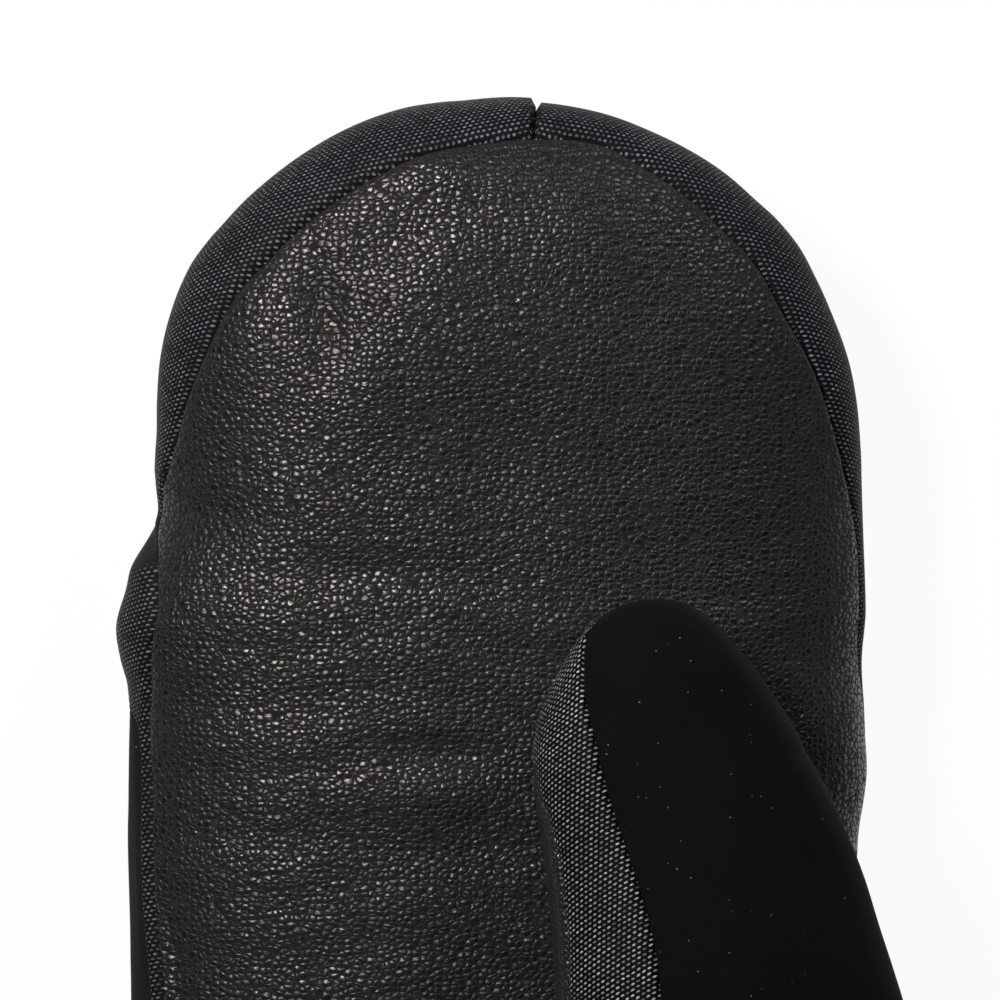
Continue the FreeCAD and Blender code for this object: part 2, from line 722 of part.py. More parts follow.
def racetrack(sketch, prefix, span, radius, formulas):
    """Two half circles and two straights, from the origin towards the low end of the first axis."""
    near = arc(sketch, 0, 0, radius, -math.pi / 2, math.pi / 2)
    top = line(sketch, 0, radius, -span, radius)
    far = arc(sketch, -span, 0, radius, math.pi / 2, 3 * math.pi / 2)
    low = line(sketch, -span, -radius, 0, -radius)
    loop = [(near, top), (top, far), (far, low), (low, near)]
    sketch.addConstraint(Sketcher.Constraint("Coincident", near, 3, -1, 1))
    for first, second in loop:
        sketch.addConstraint(Sketcher.Constraint("Tangent", first, 2, second, 1))
    sketch.addConstraint(Sketcher.Constraint("Equal", near, far))
    sketch.addConstraint(Sketcher.Constraint("PointOnObject", far, 3, -1))
    span_formula, radius_formula = formulas
    constrain(sketch, f"{prefix}_radius", radius_formula, "Radius", near, radius)
    constrain(sketch, f"{prefix}_span", span_formula, "DistanceX", far, 3, -1, 1, span)


ring_chord = strap_bar - keeper_bar
ring = doc.addObject("PartDesign::Body", "slot_ring")
path = sketch_on(ring, "RingPath", "XY_Plane")
RING_HALF_X, RING_CORNER = ring_chord.Length / 2, size("ring_corner")
RING_HALF_Y = size("strap_width") / 2 + size("ring_side_gap") + BAR_RADIUS
rounded_rectangle(
    path,
    RING_HALF_X,
    RING_HALF_Y,
    RING_CORNER,
    (str(RING_HALF_X), "strap_width / 2 + ring_side_gap + ring_wire / 2", "ring_corner"),
)
wire = sketch_on(ring, "RingWire", "XZ_Plane")
circle = wire.addGeometry(Part.Circle(Vector(RING_HALF_X, 0), Vector(0, 0, 1), BAR_RADIUS), False)
wire.addConstraint(Sketcher.Constraint("PointOnObject", circle, 3, -1))
constrain(wire, "wire_radius", "ring_wire / 2", "Radius", circle, BAR_RADIUS)
constrain(wire, "wire_place", str(RING_HALF_X), "DistanceX", -1, 1, circle, 3, RING_HALF_X)
sweep = ring.newObject("PartDesign::AdditivePipe", "RingSweep")
sweep.Profile = wire
sweep.Spine = path
ring.Placement = FreeCAD.Placement(
    (strap_bar + keeper_bar) / 2,
    FreeCAD.Rotation(Vector(0, 1, 0), -math.degrees(math.atan2(ring_chord.z, ring_chord.x))),
)
node("slot_ring", ring)

# ---------------------------------------------------------------- pull loop at the hem

PULL_RADIUS = size("pull_height") / 2
PULL_Y = BINDING_END - JOINT_GAP - PULL_RADIUS
PULL_Z = size("hem_lift") + CUFF_WALL / 2
pull = doc.addObject("PartDesign::Body", "pull_loop")
outline = sketch_on(pull, "PullOutline", "YZ_Plane")
PULL_SPAN = size("pull_length") - size("pull_height")
SPAN_FORMULA = "pull_length - pull_height"
racetrack(outline, "outer", PULL_SPAN, PULL_RADIUS, (SPAN_FORMULA, "pull_height / 2"))
racetrack(
    outline,
    "inner",
    PULL_SPAN,
    PULL_RADIUS - size("pull_thick"),
    (SPAN_FORMULA, "pull_height / 2 - pull_thick"),
)
pad = pull.newObject("PartDesign::Pad", "PullPad")
pad.Profile = outline
bind(pad, Length="pull_width * 1mm")
pull.Placement = FreeCAD.Placement(
    Vector(size("pull_x") - size("pull_width") / 2, PULL_Y, PULL_Z), FreeCAD.Rotation()
)
node("pull_loop", pull)

# ---------------------------------------------------------------- checks and export

doc.recompute()
for item in doc.Objects:
    if {"Invalid", "Error"} & set(item.State):
        raise RuntimeError(f"{item.Name} did not compute: {item.State}")
for item in NODES:
    if item.Shape.isNull() or not item.Shape.isValid() or len(item.Shape.Solids) != 1:
        raise RuntimeError(f"{item.Label} is not one valid solid")

os.makedirs("parts", exist_ok=True)
for item in NODES:
    item.Shape.exportStep(f"parts/{item.Label}.step")
print(f"wrote {len(NODES)} pieces")
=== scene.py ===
"""Insulated ski mitten, palm up: soft panels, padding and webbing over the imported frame.

Lengths in the shape functions are millimetres; meshes are made in metres.
"""

import math

import bmesh
import bpy
import numpy as np
from mathutils import Matrix, Vector


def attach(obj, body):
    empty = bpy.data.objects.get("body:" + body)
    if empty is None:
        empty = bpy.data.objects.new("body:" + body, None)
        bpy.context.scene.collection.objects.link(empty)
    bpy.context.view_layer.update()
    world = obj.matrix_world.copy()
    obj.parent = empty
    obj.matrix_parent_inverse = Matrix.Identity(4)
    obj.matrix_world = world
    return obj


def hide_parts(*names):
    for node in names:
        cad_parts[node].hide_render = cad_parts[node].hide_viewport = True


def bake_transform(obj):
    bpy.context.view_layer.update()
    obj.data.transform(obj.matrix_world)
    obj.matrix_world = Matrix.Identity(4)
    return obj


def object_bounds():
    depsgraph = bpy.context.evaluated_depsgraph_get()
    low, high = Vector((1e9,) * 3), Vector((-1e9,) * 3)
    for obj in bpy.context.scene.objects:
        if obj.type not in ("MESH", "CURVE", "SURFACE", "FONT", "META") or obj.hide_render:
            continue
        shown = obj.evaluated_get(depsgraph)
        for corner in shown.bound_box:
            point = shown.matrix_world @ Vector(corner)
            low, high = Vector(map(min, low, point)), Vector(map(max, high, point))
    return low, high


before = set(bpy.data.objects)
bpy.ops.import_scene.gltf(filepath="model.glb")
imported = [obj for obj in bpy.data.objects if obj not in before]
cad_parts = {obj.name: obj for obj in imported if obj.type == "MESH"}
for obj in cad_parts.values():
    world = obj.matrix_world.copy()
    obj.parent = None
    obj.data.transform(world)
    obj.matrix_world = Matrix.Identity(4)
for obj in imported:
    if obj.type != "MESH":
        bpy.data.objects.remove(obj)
cad_low, cad_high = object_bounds()
MM = 0.001

# ------------ camera, lamps and floor

VIEW_LENS = 500.0
VIEW_CENTRE = (-1.67, 53.0, 30.0)
VIEW_WIDTH = 166.7
WHITE = (1, 1, 1)
OPEN = 180.0  # the spread of a lamp without a grid, in degrees
# name, place, aim, size, watts, tint and spread
LAMPS = [
    ("window_lamp", (-0.36, 0.36, 0.82), (-0.03, 0.10, 0.03), (0.16, 0.16), 1.3, (1.0, 0.98, 0.96), 60.0),
    ("far_lamp", (0.62, 0.80, 0.85), (0.02, 0.03, 0.03), (0.3, 0.3), 6.5, (0.92, 0.95, 1.0), OPEN),
    ("low_lamp", (-0.5, -1.0, 0.9), (0, 0, 0.03), (0.6, 0.5), 1.0, WHITE, OPEN),
]
FLOOR_SIZE = 12.0
FLOOR_DROP = 0.0002
FLOOR_GREY = (0.75, 0.75, 0.75, 1)
FLOOR_GLOW = 0.94  # share of plain white that the floor shows; the rest takes the shadow
WORLD_LIGHT = 0.05


def make_camera():
    """Looks straight down on the palm from far off, fingertips up."""
    data = bpy.data.cameras.new("palm_camera")
    data.lens = VIEW_LENS
    data.clip_end = 100.0
    camera = bpy.data.objects.new("palm_camera", data)
    away = VIEW_WIDTH * VIEW_LENS / data.sensor_width
    x, y, z = VIEW_CENTRE
    camera.location = (x * MM, y * MM, (z + away) * MM)
    bpy.context.scene.collection.objects.link(camera)
    bpy.context.scene.camera = camera


def make_lamp(name, place, aim, size, power, tint, spread):
    """A soft rectangular lamp at a place, turned to its aim, with a grid that narrows its spread."""
    data = bpy.data.lights.new(name, "AREA")
    data.shape = "RECTANGLE"
    data.size, data.size_y = size
    data.energy = power
    data.color = tint
    data.spread = math.radians(spread)
    lamp = bpy.data.objects.new(name, data)
    back = Vector(place) - Vector(aim)
    lamp.location = place
    lamp.rotation_mode = "QUATERNION"
    lamp.rotation_quaternion = back.to_track_quat("Z", "Y")
    bpy.context.scene.collection.objects.link(lamp)


make_camera()
for lamp in LAMPS:
    make_lamp(*lamp)

# ------------ node helpers


class Wiring:
    """Adds nodes to one tree and joins them."""

    def __init__(self, tree):
        self.tree = tree
        self.column = 0

    def add(self, kind, inputs=(), **settings):
        """A shader node or a group's end, with settings on it and values or links on its sockets."""
        node = self.tree.nodes.new(kind if kind.startswith("NodeGroup") else "ShaderNode" + kind)
        node.location = (self.column, 0)
        self.column += 180
        for key, value in settings.items():
            setattr(node, key, value)
        for key, value in dict(inputs).items():
            socket = node.inputs[key]
            if isinstance(value, bpy.types.NodeSocket):
                self.tree.links.new(value, socket)
            else:
                socket.default_value = value
        return node

    def feed(self, node, **links):
        """Links outputs to a node's named sockets."""
        for label, output in links.items():
            self.tree.links.new(output, node.inputs[label.replace("_", " ")])

    def math(self, operation, a, b=0.0):
        """The result of a sum on numbers."""
        return self.add("Math", {0: a, 1: b}, operation=operation).outputs[0]

    def times(self, a, b):
        """One number times another."""
        return self.math("MULTIPLY", a, b)

    def plus(self, a, b):
        """One number plus another."""
        return self.math("ADD", a, b)

    def vector(self, operation, a, b):
        """The result of a sum on vectors."""
        return self.add("VectorMath", {0: a, 1: b}, operation=operation).outputs[0]

    def scaled(self, vector, factor):
        """A vector times a number."""
        return self.add("VectorMath", {0: vector, "Scale": factor}, operation="SCALE").outputs[0]

    def noise(self, place, scale, detail, **more):
        """Noise between 0 and 1 at a place."""
        inputs = {"Vector": place, "Scale": scale, "Detail": detail, **more}
        return self.add("TexNoise", inputs).outputs["Fac"]

    def parts(self, colour):
        """The three channels of a colour."""
        return self.add("SeparateColor", {"Color": colour}).outputs

    def spread(self, value, low, high, to_low=0.0, to_high=1.0):
        """Maps a value from one range to another, eased at both ends."""
        return self.add(
            "MapRange",
            {"Value": value, "From Min": low, "From Max": high, "To Min": to_low, "To Max": to_high},
            interpolation_type="SMOOTHSTEP",
        ).outputs[0]

    def mix(self, share, a, b):
        """Colour a where the share is 0, and b where it is 1."""
        node = self.add("Mix", data_type="RGBA")
        for socket, value in ((0, share), (6, a), (7, b)):
            if isinstance(value, bpy.types.NodeSocket):
                self.tree.links.new(value, node.inputs[socket])
            else:
                node.inputs[socket].default_value = value
        return node.outputs[2]


def new_wiring(owner):
    """The empty wiring of a material or a world."""
    owner.use_nodes = True
    owner.node_tree.nodes.clear()
    return Wiring(owner.node_tree)


def new_group(name, inputs, outputs):
    """A node group with named sockets: (name, kind, default)."""
    group = bpy.data.node_groups.new(name, "ShaderNodeTree")
    for label, kind, default in inputs:
        socket = group.interface.new_socket(label, in_out="INPUT", socket_type=kind)
        if default is not None:
            socket.default_value = default
    for label, kind in outputs:
        group.interface.new_socket(label, in_out="OUTPUT", socket_type=kind)
    wiring = Wiring(group)
    return group, wiring, wiring.add("NodeGroupInput").outputs, wiring.add("NodeGroupOutput")


FLOAT, VECTOR = "NodeSocketFloat", "NodeSocketVector"


def pebble_group():
    """Leather grain: warped cells, long across the hand, each a low dome with its own tone."""
    cell_shape, randomness, swing = (0.86, 1.08, 0.96), 0.8, (3.0, 3.0, 3.0)
    crown_height, dome_height, tone_height, fine_height = 0.3, 0.7, 0.12, 0.28
    group, w, source, sink = new_group(
        "pebble_grain",
        [("Place", VECTOR, None), ("Cell", FLOAT, 0.00106), ("Warp", FLOAT, 0.2)],
        [("Height", FLOAT), ("Crown", FLOAT), ("Tone", FLOAT)],
    )
    scale = w.math("DIVIDE", 1.0, source["Cell"])
    scaled = w.scaled(w.vector("MULTIPLY", source["Place"], cell_shape), scale)
    bend = w.add("TexNoise", {"Vector": scaled, "Scale": 0.55, "Detail": 2.0})
    shift = w.scaled(w.vector("SUBTRACT", bend.outputs["Color"], (0.5, 0.5, 0.5)), source["Warp"])
    place = w.vector("ADD", scaled, w.vector("MULTIPLY", shift, swing))
    cells = {"Vector": place, "Scale": 1.0, "Randomness": randomness}
    edge = w.add("TexVoronoi", cells, feature="DISTANCE_TO_EDGE").outputs["Distance"]
    cell = w.add("TexVoronoi", cells)
    crown = w.spread(edge, 0.0, 0.2)
    dome = w.spread(cell.outputs["Distance"], 0.0, 0.85, 1.0, 0.0)
    fine = w.noise(scaled, 3.0, 3.0)
    tone = w.parts(cell.outputs["Color"])[0]
    height = w.plus(w.times(crown, crown_height), w.times(dome, dome_height))
    height = w.plus(height, w.times(tone, tone_height))
    height = w.plus(height, w.times(fine, fine_height))
    w.feed(sink, Height=height, Crown=crown, Tone=tone)
    return group


def weave_group():
    """Woven rows: short floats of yarn, staggered by half a step from row to row."""
    yarn_shape, waver_scale, waver_reach = (0.88, 1.2, 1.0), 0.35, 0.5
    group, w, source, sink = new_group(
        "woven_rows",
        [("Place", VECTOR, None), ("Pitch", FLOAT, 0.0009), ("Length", FLOAT, 0.33), ("Width", FLOAT, 0.27)],
        [("Height", FLOAT), ("Yarn", FLOAT), ("Tone", FLOAT)],
    )
    scaled = w.scaled(source["Place"], w.math("DIVIDE", 1.0, source["Pitch"]))
    waver = w.times(w.math("SUBTRACT", w.noise(scaled, waver_scale, 1.0), 0.5), waver_reach)
    split = w.add("SeparateXYZ", {0: w.vector("MULTIPLY", scaled, yarn_shape)}).outputs
    u, v = w.plus(split[0], waver), w.plus(split[1], waver)
    row = w.math("FLOOR", v)
    u = w.plus(u, w.times(w.math("MODULO", row, 2.0), 0.5))
    column = w.math("FLOOR", u)
    off_u, off_v = (w.math("ABSOLUTE", w.math("SUBTRACT", w.math("FRACT", a), 0.5)) for a in (u, v))
    long = w.math("DIVIDE", off_u, source["Length"])
    short = w.math("DIVIDE", off_v, source["Width"])
    away = w.plus(w.math("POWER", long, 2.4), w.math("POWER", short, 2.0))
    yarn = w.spread(away, 0.3, 1.15, 1.0, 0.0)
    key = w.add("CombineXYZ", {0: column, 1: row}).outputs[0]
    tone = w.add("TexWhiteNoise", {"Vector": key}).outputs["Value"]
    w.feed(sink, Height=yarn, Yarn=yarn, Tone=tone)
    return group


def lint_group():
    """Sparse specks of lint: a few cells of a fine pattern, each only near its centre."""
    least_radius, least_tone = 0.4, 0.2
    group, w, source, sink = new_group(
        "lint_specks",
        [("Place", VECTOR, None), ("Cell", FLOAT, 0.0017), ("Radius", FLOAT, 0.075), ("Share", FLOAT, 0.45)],
        [("Speck", FLOAT)],
    )
    scaled = w.scaled(source["Place"], w.math("DIVIDE", 1.0, source["Cell"]))
    cell = w.add("TexVoronoi", {"Vector": scaled, "Scale": 1.0})
    pick = w.parts(cell.outputs["Color"])
    radius = w.times(source["Radius"], w.plus(pick[1], least_radius))
    near = w.math("LESS_THAN", cell.outputs["Distance"], radius)
    chosen = w.math("LESS_THAN", pick[0], source["Share"])
    speck = w.times(w.times(near, chosen), w.plus(pick[2], least_tone))
    w.feed(sink, Speck=speck)
    return group


PEBBLE, WEAVE, LINT = pebble_group(), weave_group(), lint_group()


def new_material(name, **constants):
    """A material's wiring, its shader with the constants on its sockets, and the object coordinates."""
    material = bpy.data.materials.new(name)
    w = new_wiring(material)
    shader = w.add("BsdfPrincipled")
    output = w.add("OutputMaterial")
    w.feed(output, Surface=shader.outputs[0])
    for label, value in constants.items():
        shader.inputs[label.replace("_", " ")].default_value = value
    coordinates = w.add("TexCoord").outputs
    return material, w, shader, coordinates


def finish_material(w, shader, colour, roughness, height, depth):
    """Feeds the shader's colour, roughness and bump; depth is in metres."""
    bump = w.add("Bump", {"Height": height, "Distance": depth, "Strength": 1.0})
    w.feed(shader, Base_Color=colour, Roughness=roughness, Normal=bump.outputs[0])


def leather_material():
    """Black pebbled leather: domed grain; the creases between cells are painted near black as shade, the tops
    paler and smoother.
    """
    # crease: painted shade, near black in the hollows between grain cells; crown: the tops' own colour
    crease, crown = (0.0006, 0.0006, 0.0006, 1), (0.0078, 0.0076, 0.0075, 1)
    worn = (0.0020, 0.0020, 0.0019, 1)
    material, w, shader, coordinates = new_material(
        "black_leather", Specular_IOR_Level=0.36, Specular_Tint=(1.0, 0.965, 0.93, 1)
    )
    place = coordinates["Object"]
    grain = w.add("Group", {"Place": place}, node_tree=PEBBLE).outputs
    patch = w.spread(w.noise(place, 42.0, 3.0), 0.35, 0.7)
    top = w.times(grain["Crown"], w.plus(w.times(grain["Tone"], 0.6), 0.4))
    # painted shade: the crease colour darkens the hollows of the grain, the crown colour lies on the tops
    colour = w.mix(top, crease, crown)
    colour = w.mix(w.times(patch, 0.3), colour, worn)
    rough = w.plus(w.times(grain["Crown"], -0.68), 0.96)
    rough = w.plus(rough, w.times(patch, 0.05))
    lying = w.vector("MULTIPLY", place, (0.30, 1.0, 0.6))
    crinkle = w.noise(lying, 420.0, 3.0, Distortion=1.2)
    height = w.plus(grain["Height"], w.times(crinkle, 1.3))
    finish_material(w, shader, colour, rough, height, 0.00016)
    return material


def weave_material(name, dark, yarn_highlight, pitch, depth, length=0.35, width=0.29):
    """Woven nylon: dark ground, with the floats of yarn painted paler as highlights on their tops; smooth
    where the attribute 'plain' is 1.
    """
    plain_ground = (0.0075, 0.0078, 0.0086, 1)
    material, w, shader, coordinates = new_material(name, Specular_IOR_Level=0.06)
    inputs = {"Place": coordinates["UV"], "Pitch": pitch, "Length": length, "Width": width}
    weave = w.add("Group", inputs, node_tree=WEAVE).outputs
    plain = w.add("Attribute", attribute_name="plain").outputs["Fac"]
    shown = w.math("SUBTRACT", 1.0, plain)
    yarn = w.times(weave["Yarn"], shown)
    tone = w.plus(w.times(weave["Tone"], 0.75), 0.25)
    broad = w.noise(coordinates["Object"], 60.0, 2.0)
    # painted highlight: the tops of the yarn floats take the pale colour, with a random tone per float
    share = w.times(w.times(yarn, tone), w.spread(broad, 0.2, 0.8, 0.6, 1.0))
    colour = w.mix(share, w.mix(plain, dark, plain_ground), yarn_highlight)
    rough = w.plus(w.times(yarn, -0.15), 0.62)
    finish_material(w, shader, colour, rough, w.times(weave["Height"], shown), depth)
    return material


def softshell_material(name, ground, haze):
    """Matt knit face: very dark, faintly mottled, with sparse pale lint."""
    lint_grey = (0.16, 0.17, 0.18, 1)
    material, w, shader, coordinates = new_material(name, Specular_IOR_Level=0.07, Sheen_Weight=0.008)
    place = coordinates["Object"]
    lint = w.add("Group", {"Place": place}, node_tree=LINT).outputs
    broad = w.noise(place, 30.0, 4.0)
    knit = w.noise(place, 2600.0, 2.0)
    colour = w.mix(w.spread(broad, 0.3, 0.75), ground, haze)
    colour = w.mix(w.times(lint["Speck"], 0.6), colour, lint_grey)
    rough = w.spread(knit, 0.2, 0.8, 0.80, 0.95)
    finish_material(w, shader, colour, rough, knit, 0.00006)
    return material


def fleece_material(name, low, high, scale, depth):
    """Brushed pile or padding: clumps of fibre at two sizes."""
    material, w, shader, coordinates = new_material(name, Specular_IOR_Level=0.15, Sheen_Weight=0.1)
    place = coordinates["Object"]
    clump = w.noise(place, scale, 6.0, Roughness=0.7)
    wide = w.noise(place, scale / 9, 2.0)
    share = w.times(clump, w.plus(wide, 0.5))
    colour = w.mix(w.spread(share, 0.25, 0.8), low, high)
    rough = w.spread(clump, 0.2, 0.8, 0.85, 1.0)
    finish_material(w, shader, colour, rough, share, depth)
    return material


def film_material():
    """Waterproof membrane: thin matt film with faint creases."""
    material, w, shader, coordinates = new_material("grey_membrane", Specular_IOR_Level=0.4)
    crease = w.noise(coordinates["Object"], 160.0, 5.0)
    colour = w.mix(crease, (0.16, 0.17, 0.18, 1), (0.30, 0.31, 0.32, 1))
    rough = w.spread(crease, 0.2, 0.8, 0.45, 0.65)
    finish_material(w, shader, colour, rough, crease, 0.0003)
    return material


def webbing_material(name, low, high, pitch):
    """Narrow ribbed tape: ribs across it and a fine twill between them, on the piece's own map."""
    material, w, shader, coordinates = new_material(name, Specular_IOR_Level=0.35)
    split = w.add("SeparateXYZ", {0: coordinates["UV"]}).outputs
    along, across = (w.times(split[i], 2 * math.pi / pitch) for i in (0, 1))
    rib = w.plus(w.times(w.math("SINE", along), 0.5), 0.5)
    twill = w.plus(w.times(w.math("SINE", w.plus(along, across)), 0.5), 0.5)
    share = w.times(rib, w.plus(w.times(twill, 0.6), 0.4))
    fuzz = w.noise(coordinates["Object"], 900.0, 3.0)
    share = w.times(share, w.plus(fuzz, 0.4))
    colour = w.mix(share, low, high)
    rough = w.plus(w.times(share, -0.12), 0.68)
    finish_material(w, shader, colour, rough, share, 0.00025)
    return material


def metal_material():
    """Coated wire: satin black with slightly rubbed patches."""
    material, w, shader, coordinates = new_material("black_wire", Specular_IOR_Level=0.5)
    rub = w.noise(coordinates["Object"], 380.0, 4.0)
    colour = w.mix(w.spread(rub, 0.55, 0.75), (0.012, 0.012, 0.013, 1), (0.06, 0.06, 0.062, 1))
    rough = w.spread(rub, 0.3, 0.7, 0.28, 0.42)
    finish_material(w, shader, colour, rough, rub, 0.00003)
    return material


# name, dark and light colours (on the woven nylon the light one is a painted highlight on the yarn), pitch or
# scale, depth
BLACK_LEATHER = leather_material()
SIDE_NYLON = weave_material(
    "side_nylon", (0.0032, 0.0034, 0.0042, 1), (0.165, 0.168, 0.182, 1), 0.00086, 0.00020
)
THUMB_NYLON = weave_material(
    "thumb_nylon_weave", (0.0008, 0.0008, 0.001, 1), (0.46, 0.46, 0.465, 1), 0.00092, 0.00016, 0.35, 0.25
)
THUMB_SOFTSHELL = softshell_material(
    "thumb_softshell_knit", (0.0010, 0.0011, 0.0013, 1), (0.0022, 0.0024, 0.0028, 1)
)
BACK_SOFTSHELL = softshell_material(
    "back_softshell_knit", (0.0056, 0.0058, 0.0066, 1), (0.0085, 0.0088, 0.0100, 1)
)
PADDING = fleece_material("white_padding", (0.42, 0.42, 0.41, 1), (0.66, 0.66, 0.64, 1), 420.0, 0.0006)
TRICOT = fleece_material("brushed_lining", (0.018, 0.018, 0.020, 1), (0.055, 0.055, 0.060, 1), 900.0, 0.0005)
FILM = film_material()
WEBBING = webbing_material("ribbed_webbing", (0.006, 0.006, 0.0065, 1), (0.05, 0.05, 0.053, 1), 0.0011)
ELASTIC = webbing_material("ribbed_elastic", (0.01, 0.01, 0.011, 1), (0.07, 0.07, 0.075, 1), 0.0016)
TOUCH_TAPE = fleece_material(
    "touch_tape_pile", (0.006, 0.006, 0.007, 1), (0.035, 0.035, 0.038, 1), 1500.0, 0.0007
)
TAB_RUBBER = webbing_material("moulded_tab", (0.008, 0.008, 0.009, 1), (0.03, 0.03, 0.032, 1), 0.0021)
BINDING_TAPE = webbing_material("binding_tape", (0.006, 0.006, 0.007, 1), (0.04, 0.04, 0.043, 1), 0.0007)
WIRE = metal_material()

# ------------ number helpers


def smooth(share):
    """Goes from 0 to 1 as its share does, level at both ends."""
    share = np.clip(share, 0.0, 1.0)
    return share * share * (3 - 2 * share)


def through(knots, at):
    """A smooth line through (place, value) knots that never swings past them.

    Cubic pieces share a slope at each knot: the weighted harmonic mean of the rises on its two
    sides, or level where these have unlike signs.
    """
    places, values = np.array(knots, float).T
    gaps = np.diff(places)
    rises = np.diff(values) / gaps
    before, after = rises[:-1], rises[1:]
    turning = before * after <= 0
    weights = 2 * gaps[1:] + gaps[:-1], gaps[1:] + 2 * gaps[:-1]
    shares = weights[0] / np.where(turning, 1, before) + weights[1] / np.where(turning, 1, after)
    slopes = np.concatenate([rises[:1], np.where(turning, 0, sum(weights) / shares), rises[-1:]])
    at = np.clip(at, places[0], places[-1])
    i = np.clip(np.searchsorted(places, at) - 1, 0, len(places) - 2)
    gap = places[i + 1] - places[i]
    t = (at - places[i]) / gap
    start = (1 + 2 * t) * (1 - t) ** 2 * values[i] + t * (1 - t) ** 2 * gap * slopes[i]
    end = t * t * (3 - 2 * t) * values[i + 1] + t * t * (t - 1) * gap * slopes[i + 1]
    return start + end


def stepped(knots, at):
    """Values between (place, value) knots, with a smooth step from each knot to the next."""
    places, values = np.array(knots, float).T
    at = np.clip(at, places[0], places[-1])
    i = np.clip(np.searchsorted(places, at) - 1, 0, len(places) - 2)
    share = smooth((at - places[i]) / (places[i + 1] - places[i]))
    return values[i] + (values[i + 1] - values[i]) * share


def polar(points, centre):
    """Plan points as (angle, distance) about a centre, in order of angle."""
    offset = np.array(points, float) - np.array(centre, float)
    turned = np.stack([np.arctan2(offset[:, 1], offset[:, 0]), np.hypot(*offset.T)], 1)
    return turned[np.argsort(turned[:, 0])]


def dimple(x, y, centre, radii, turn=0.0):
    """A soft bump of height 1: a bell over a turned ellipse."""
    dx, dy = x - centre[0], y - centre[1]
    c, s = math.cos(math.radians(turn)), math.sin(math.radians(turn))
    u, v = (dx * c + dy * s) / radii[0], (-dx * s + dy * c) / radii[1]
    return np.exp(-(u * u + v * v))


def drift(x, y, z, seed, length):
    """Slow unevenness between about -1 and 1: five waves of unlike directions and lengths, summed."""
    waves = np.random.default_rng(seed)
    total = np.zeros(np.broadcast(x, y, z).shape)
    for _ in range(5):
        direction = waves.normal(size=3)
        direction /= np.linalg.norm(direction)
        reach = length * waves.uniform(0.7, 1.5)
        phase = waves.uniform(0, 2 * math.pi)
        along = x * direction[0] + y * direction[1] + z * direction[2]
        total += np.sin(2 * math.pi * along / reach + phase)
    return total / 3.2


# ------------ the two soft forms

FAN = 90.0  # length that the fan of rows round a tip counts for
TIP_RUN = 62.0  # length over which the tip's middle line rises
DEEPEST = 60.0  # the flat underside counts insets only down to this


class Form:
    """A stuffed tube with a rounded tip, in two halves that meet along its middle line.

    Up to the fan's centre a row is level with one y. Past it the rows turn like rays about the
    centre, and both halves meet in the last one. Across a row the outline is a superellipse:
    distance out is the cosine and height the sine of the turn, each to the power 2 over n.
    """

    def __init__(self, centre, meet, edges, fans, heights, power, tip_power, tip_rise, floor):
        self.centre, self.meet, self.edges, self.fans = centre, meet, edges, fans
        self.heights, self.power, self.tip_power = heights, power, tip_power
        self.tip_rise, self.floor = tip_rise, floor

    def at(self, side, row, turn, inset=(0.0, 0.0, 0.0)):
        """Points for a half (-1 or 1), rows, turns (-90 degrees under to 90 on top) and insets."""
        inset_side, inset_top, inset_low = inset
        level = self.centre[1] + np.minimum(row, 0.0)
        low_x, high_x = self.edges[-1](level), self.edges[1](level)
        middle = np.where(row <= 0, (low_x + high_x) / 2 if self.floor is None else 0.0, self.centre[0])
        start = 0.0 if side > 0 else math.pi
        angle = start + np.clip(row / FAN, 0, 1) * (self.meet - start)
        straight = np.abs((high_x if side > 0 else low_x) - middle)
        reach = np.where(row <= 0, straight, through(self.fans[side], angle)) - inset_side
        n = self.power + (self.tip_power - self.power) * smooth(row / FAN)
        out = np.abs(np.cos(turn)) ** (2 / n) * reach
        rise = np.sign(turn) * np.abs(np.sin(turn)) ** (2 / n)
        x = middle + out * np.where(row <= 0, side, np.cos(angle))
        y = level + out * np.where(row <= 0, 0.0, np.sin(angle))
        low, high = stepped(self.heights[0], level), stepped(self.heights[1], level)
        lift = self.tip_rise * np.clip((y - self.centre[1]) / TIP_RUN, 0, 1)
        half = (high - low) / 2 - np.where(turn > 0, inset_top, inset_low)
        z = (low + high) / 2 + lift + rise * half
        if self.floor is not None:
            z = np.maximum(z, self.floor + np.minimum(inset_low, DEEPEST))
        return np.stack(np.broadcast_arrays(x, y, z), -1)


LITTLE_EDGE = [
    (-58, 63.3), (-30.3, 63.8), (-22, 64.1), (-13.7, 64.2), (-4, 64.1), (3, 63.8), (18, 63.7), (22, 64.0),
    (26.3, 65.1), (31.3, 65.8), (38, 64.1), (44.7, 61.2), (49, 59.3), (51.5, 58.7), (55, 59.1), (58, 59.4),
]
INDEX_EDGE = [
    (-58, 58.5), (-30, 58.5), (-10, 58.3), (-4, 58.5), (3, 59.4), (10, 59.9), (18, 59.3),
    (26, 58.7), (35, 59.4), (46, 59.2), (58, 58.8),
]
CUFF_WIDTH = [(-180, 63.0), (-104, 53.0), (-86, 53.0), (-58, 63.3)]
CUFF_WIDTH_INDEX = [(-180, 63.0), (-104, 53.0), (-86, 53.0), (-58, 58.5)]


def tip_table(points, centre, meet, reach):
    """Distances round a tip's centre by angle, ending at the shared reach where the halves meet."""
    table = np.vstack([polar(points, centre), [meet, reach]])
    return table[np.argsort(table[:, 0])]


def little_edge(y):
    return -np.where(y < -58, stepped(CUFF_WIDTH, y), through(LITTLE_EDGE, y))


def index_edge(y):
    return np.where(y < -58, stepped(CUFF_WIDTH_INDEX, y), through(INDEX_EDGE, y))


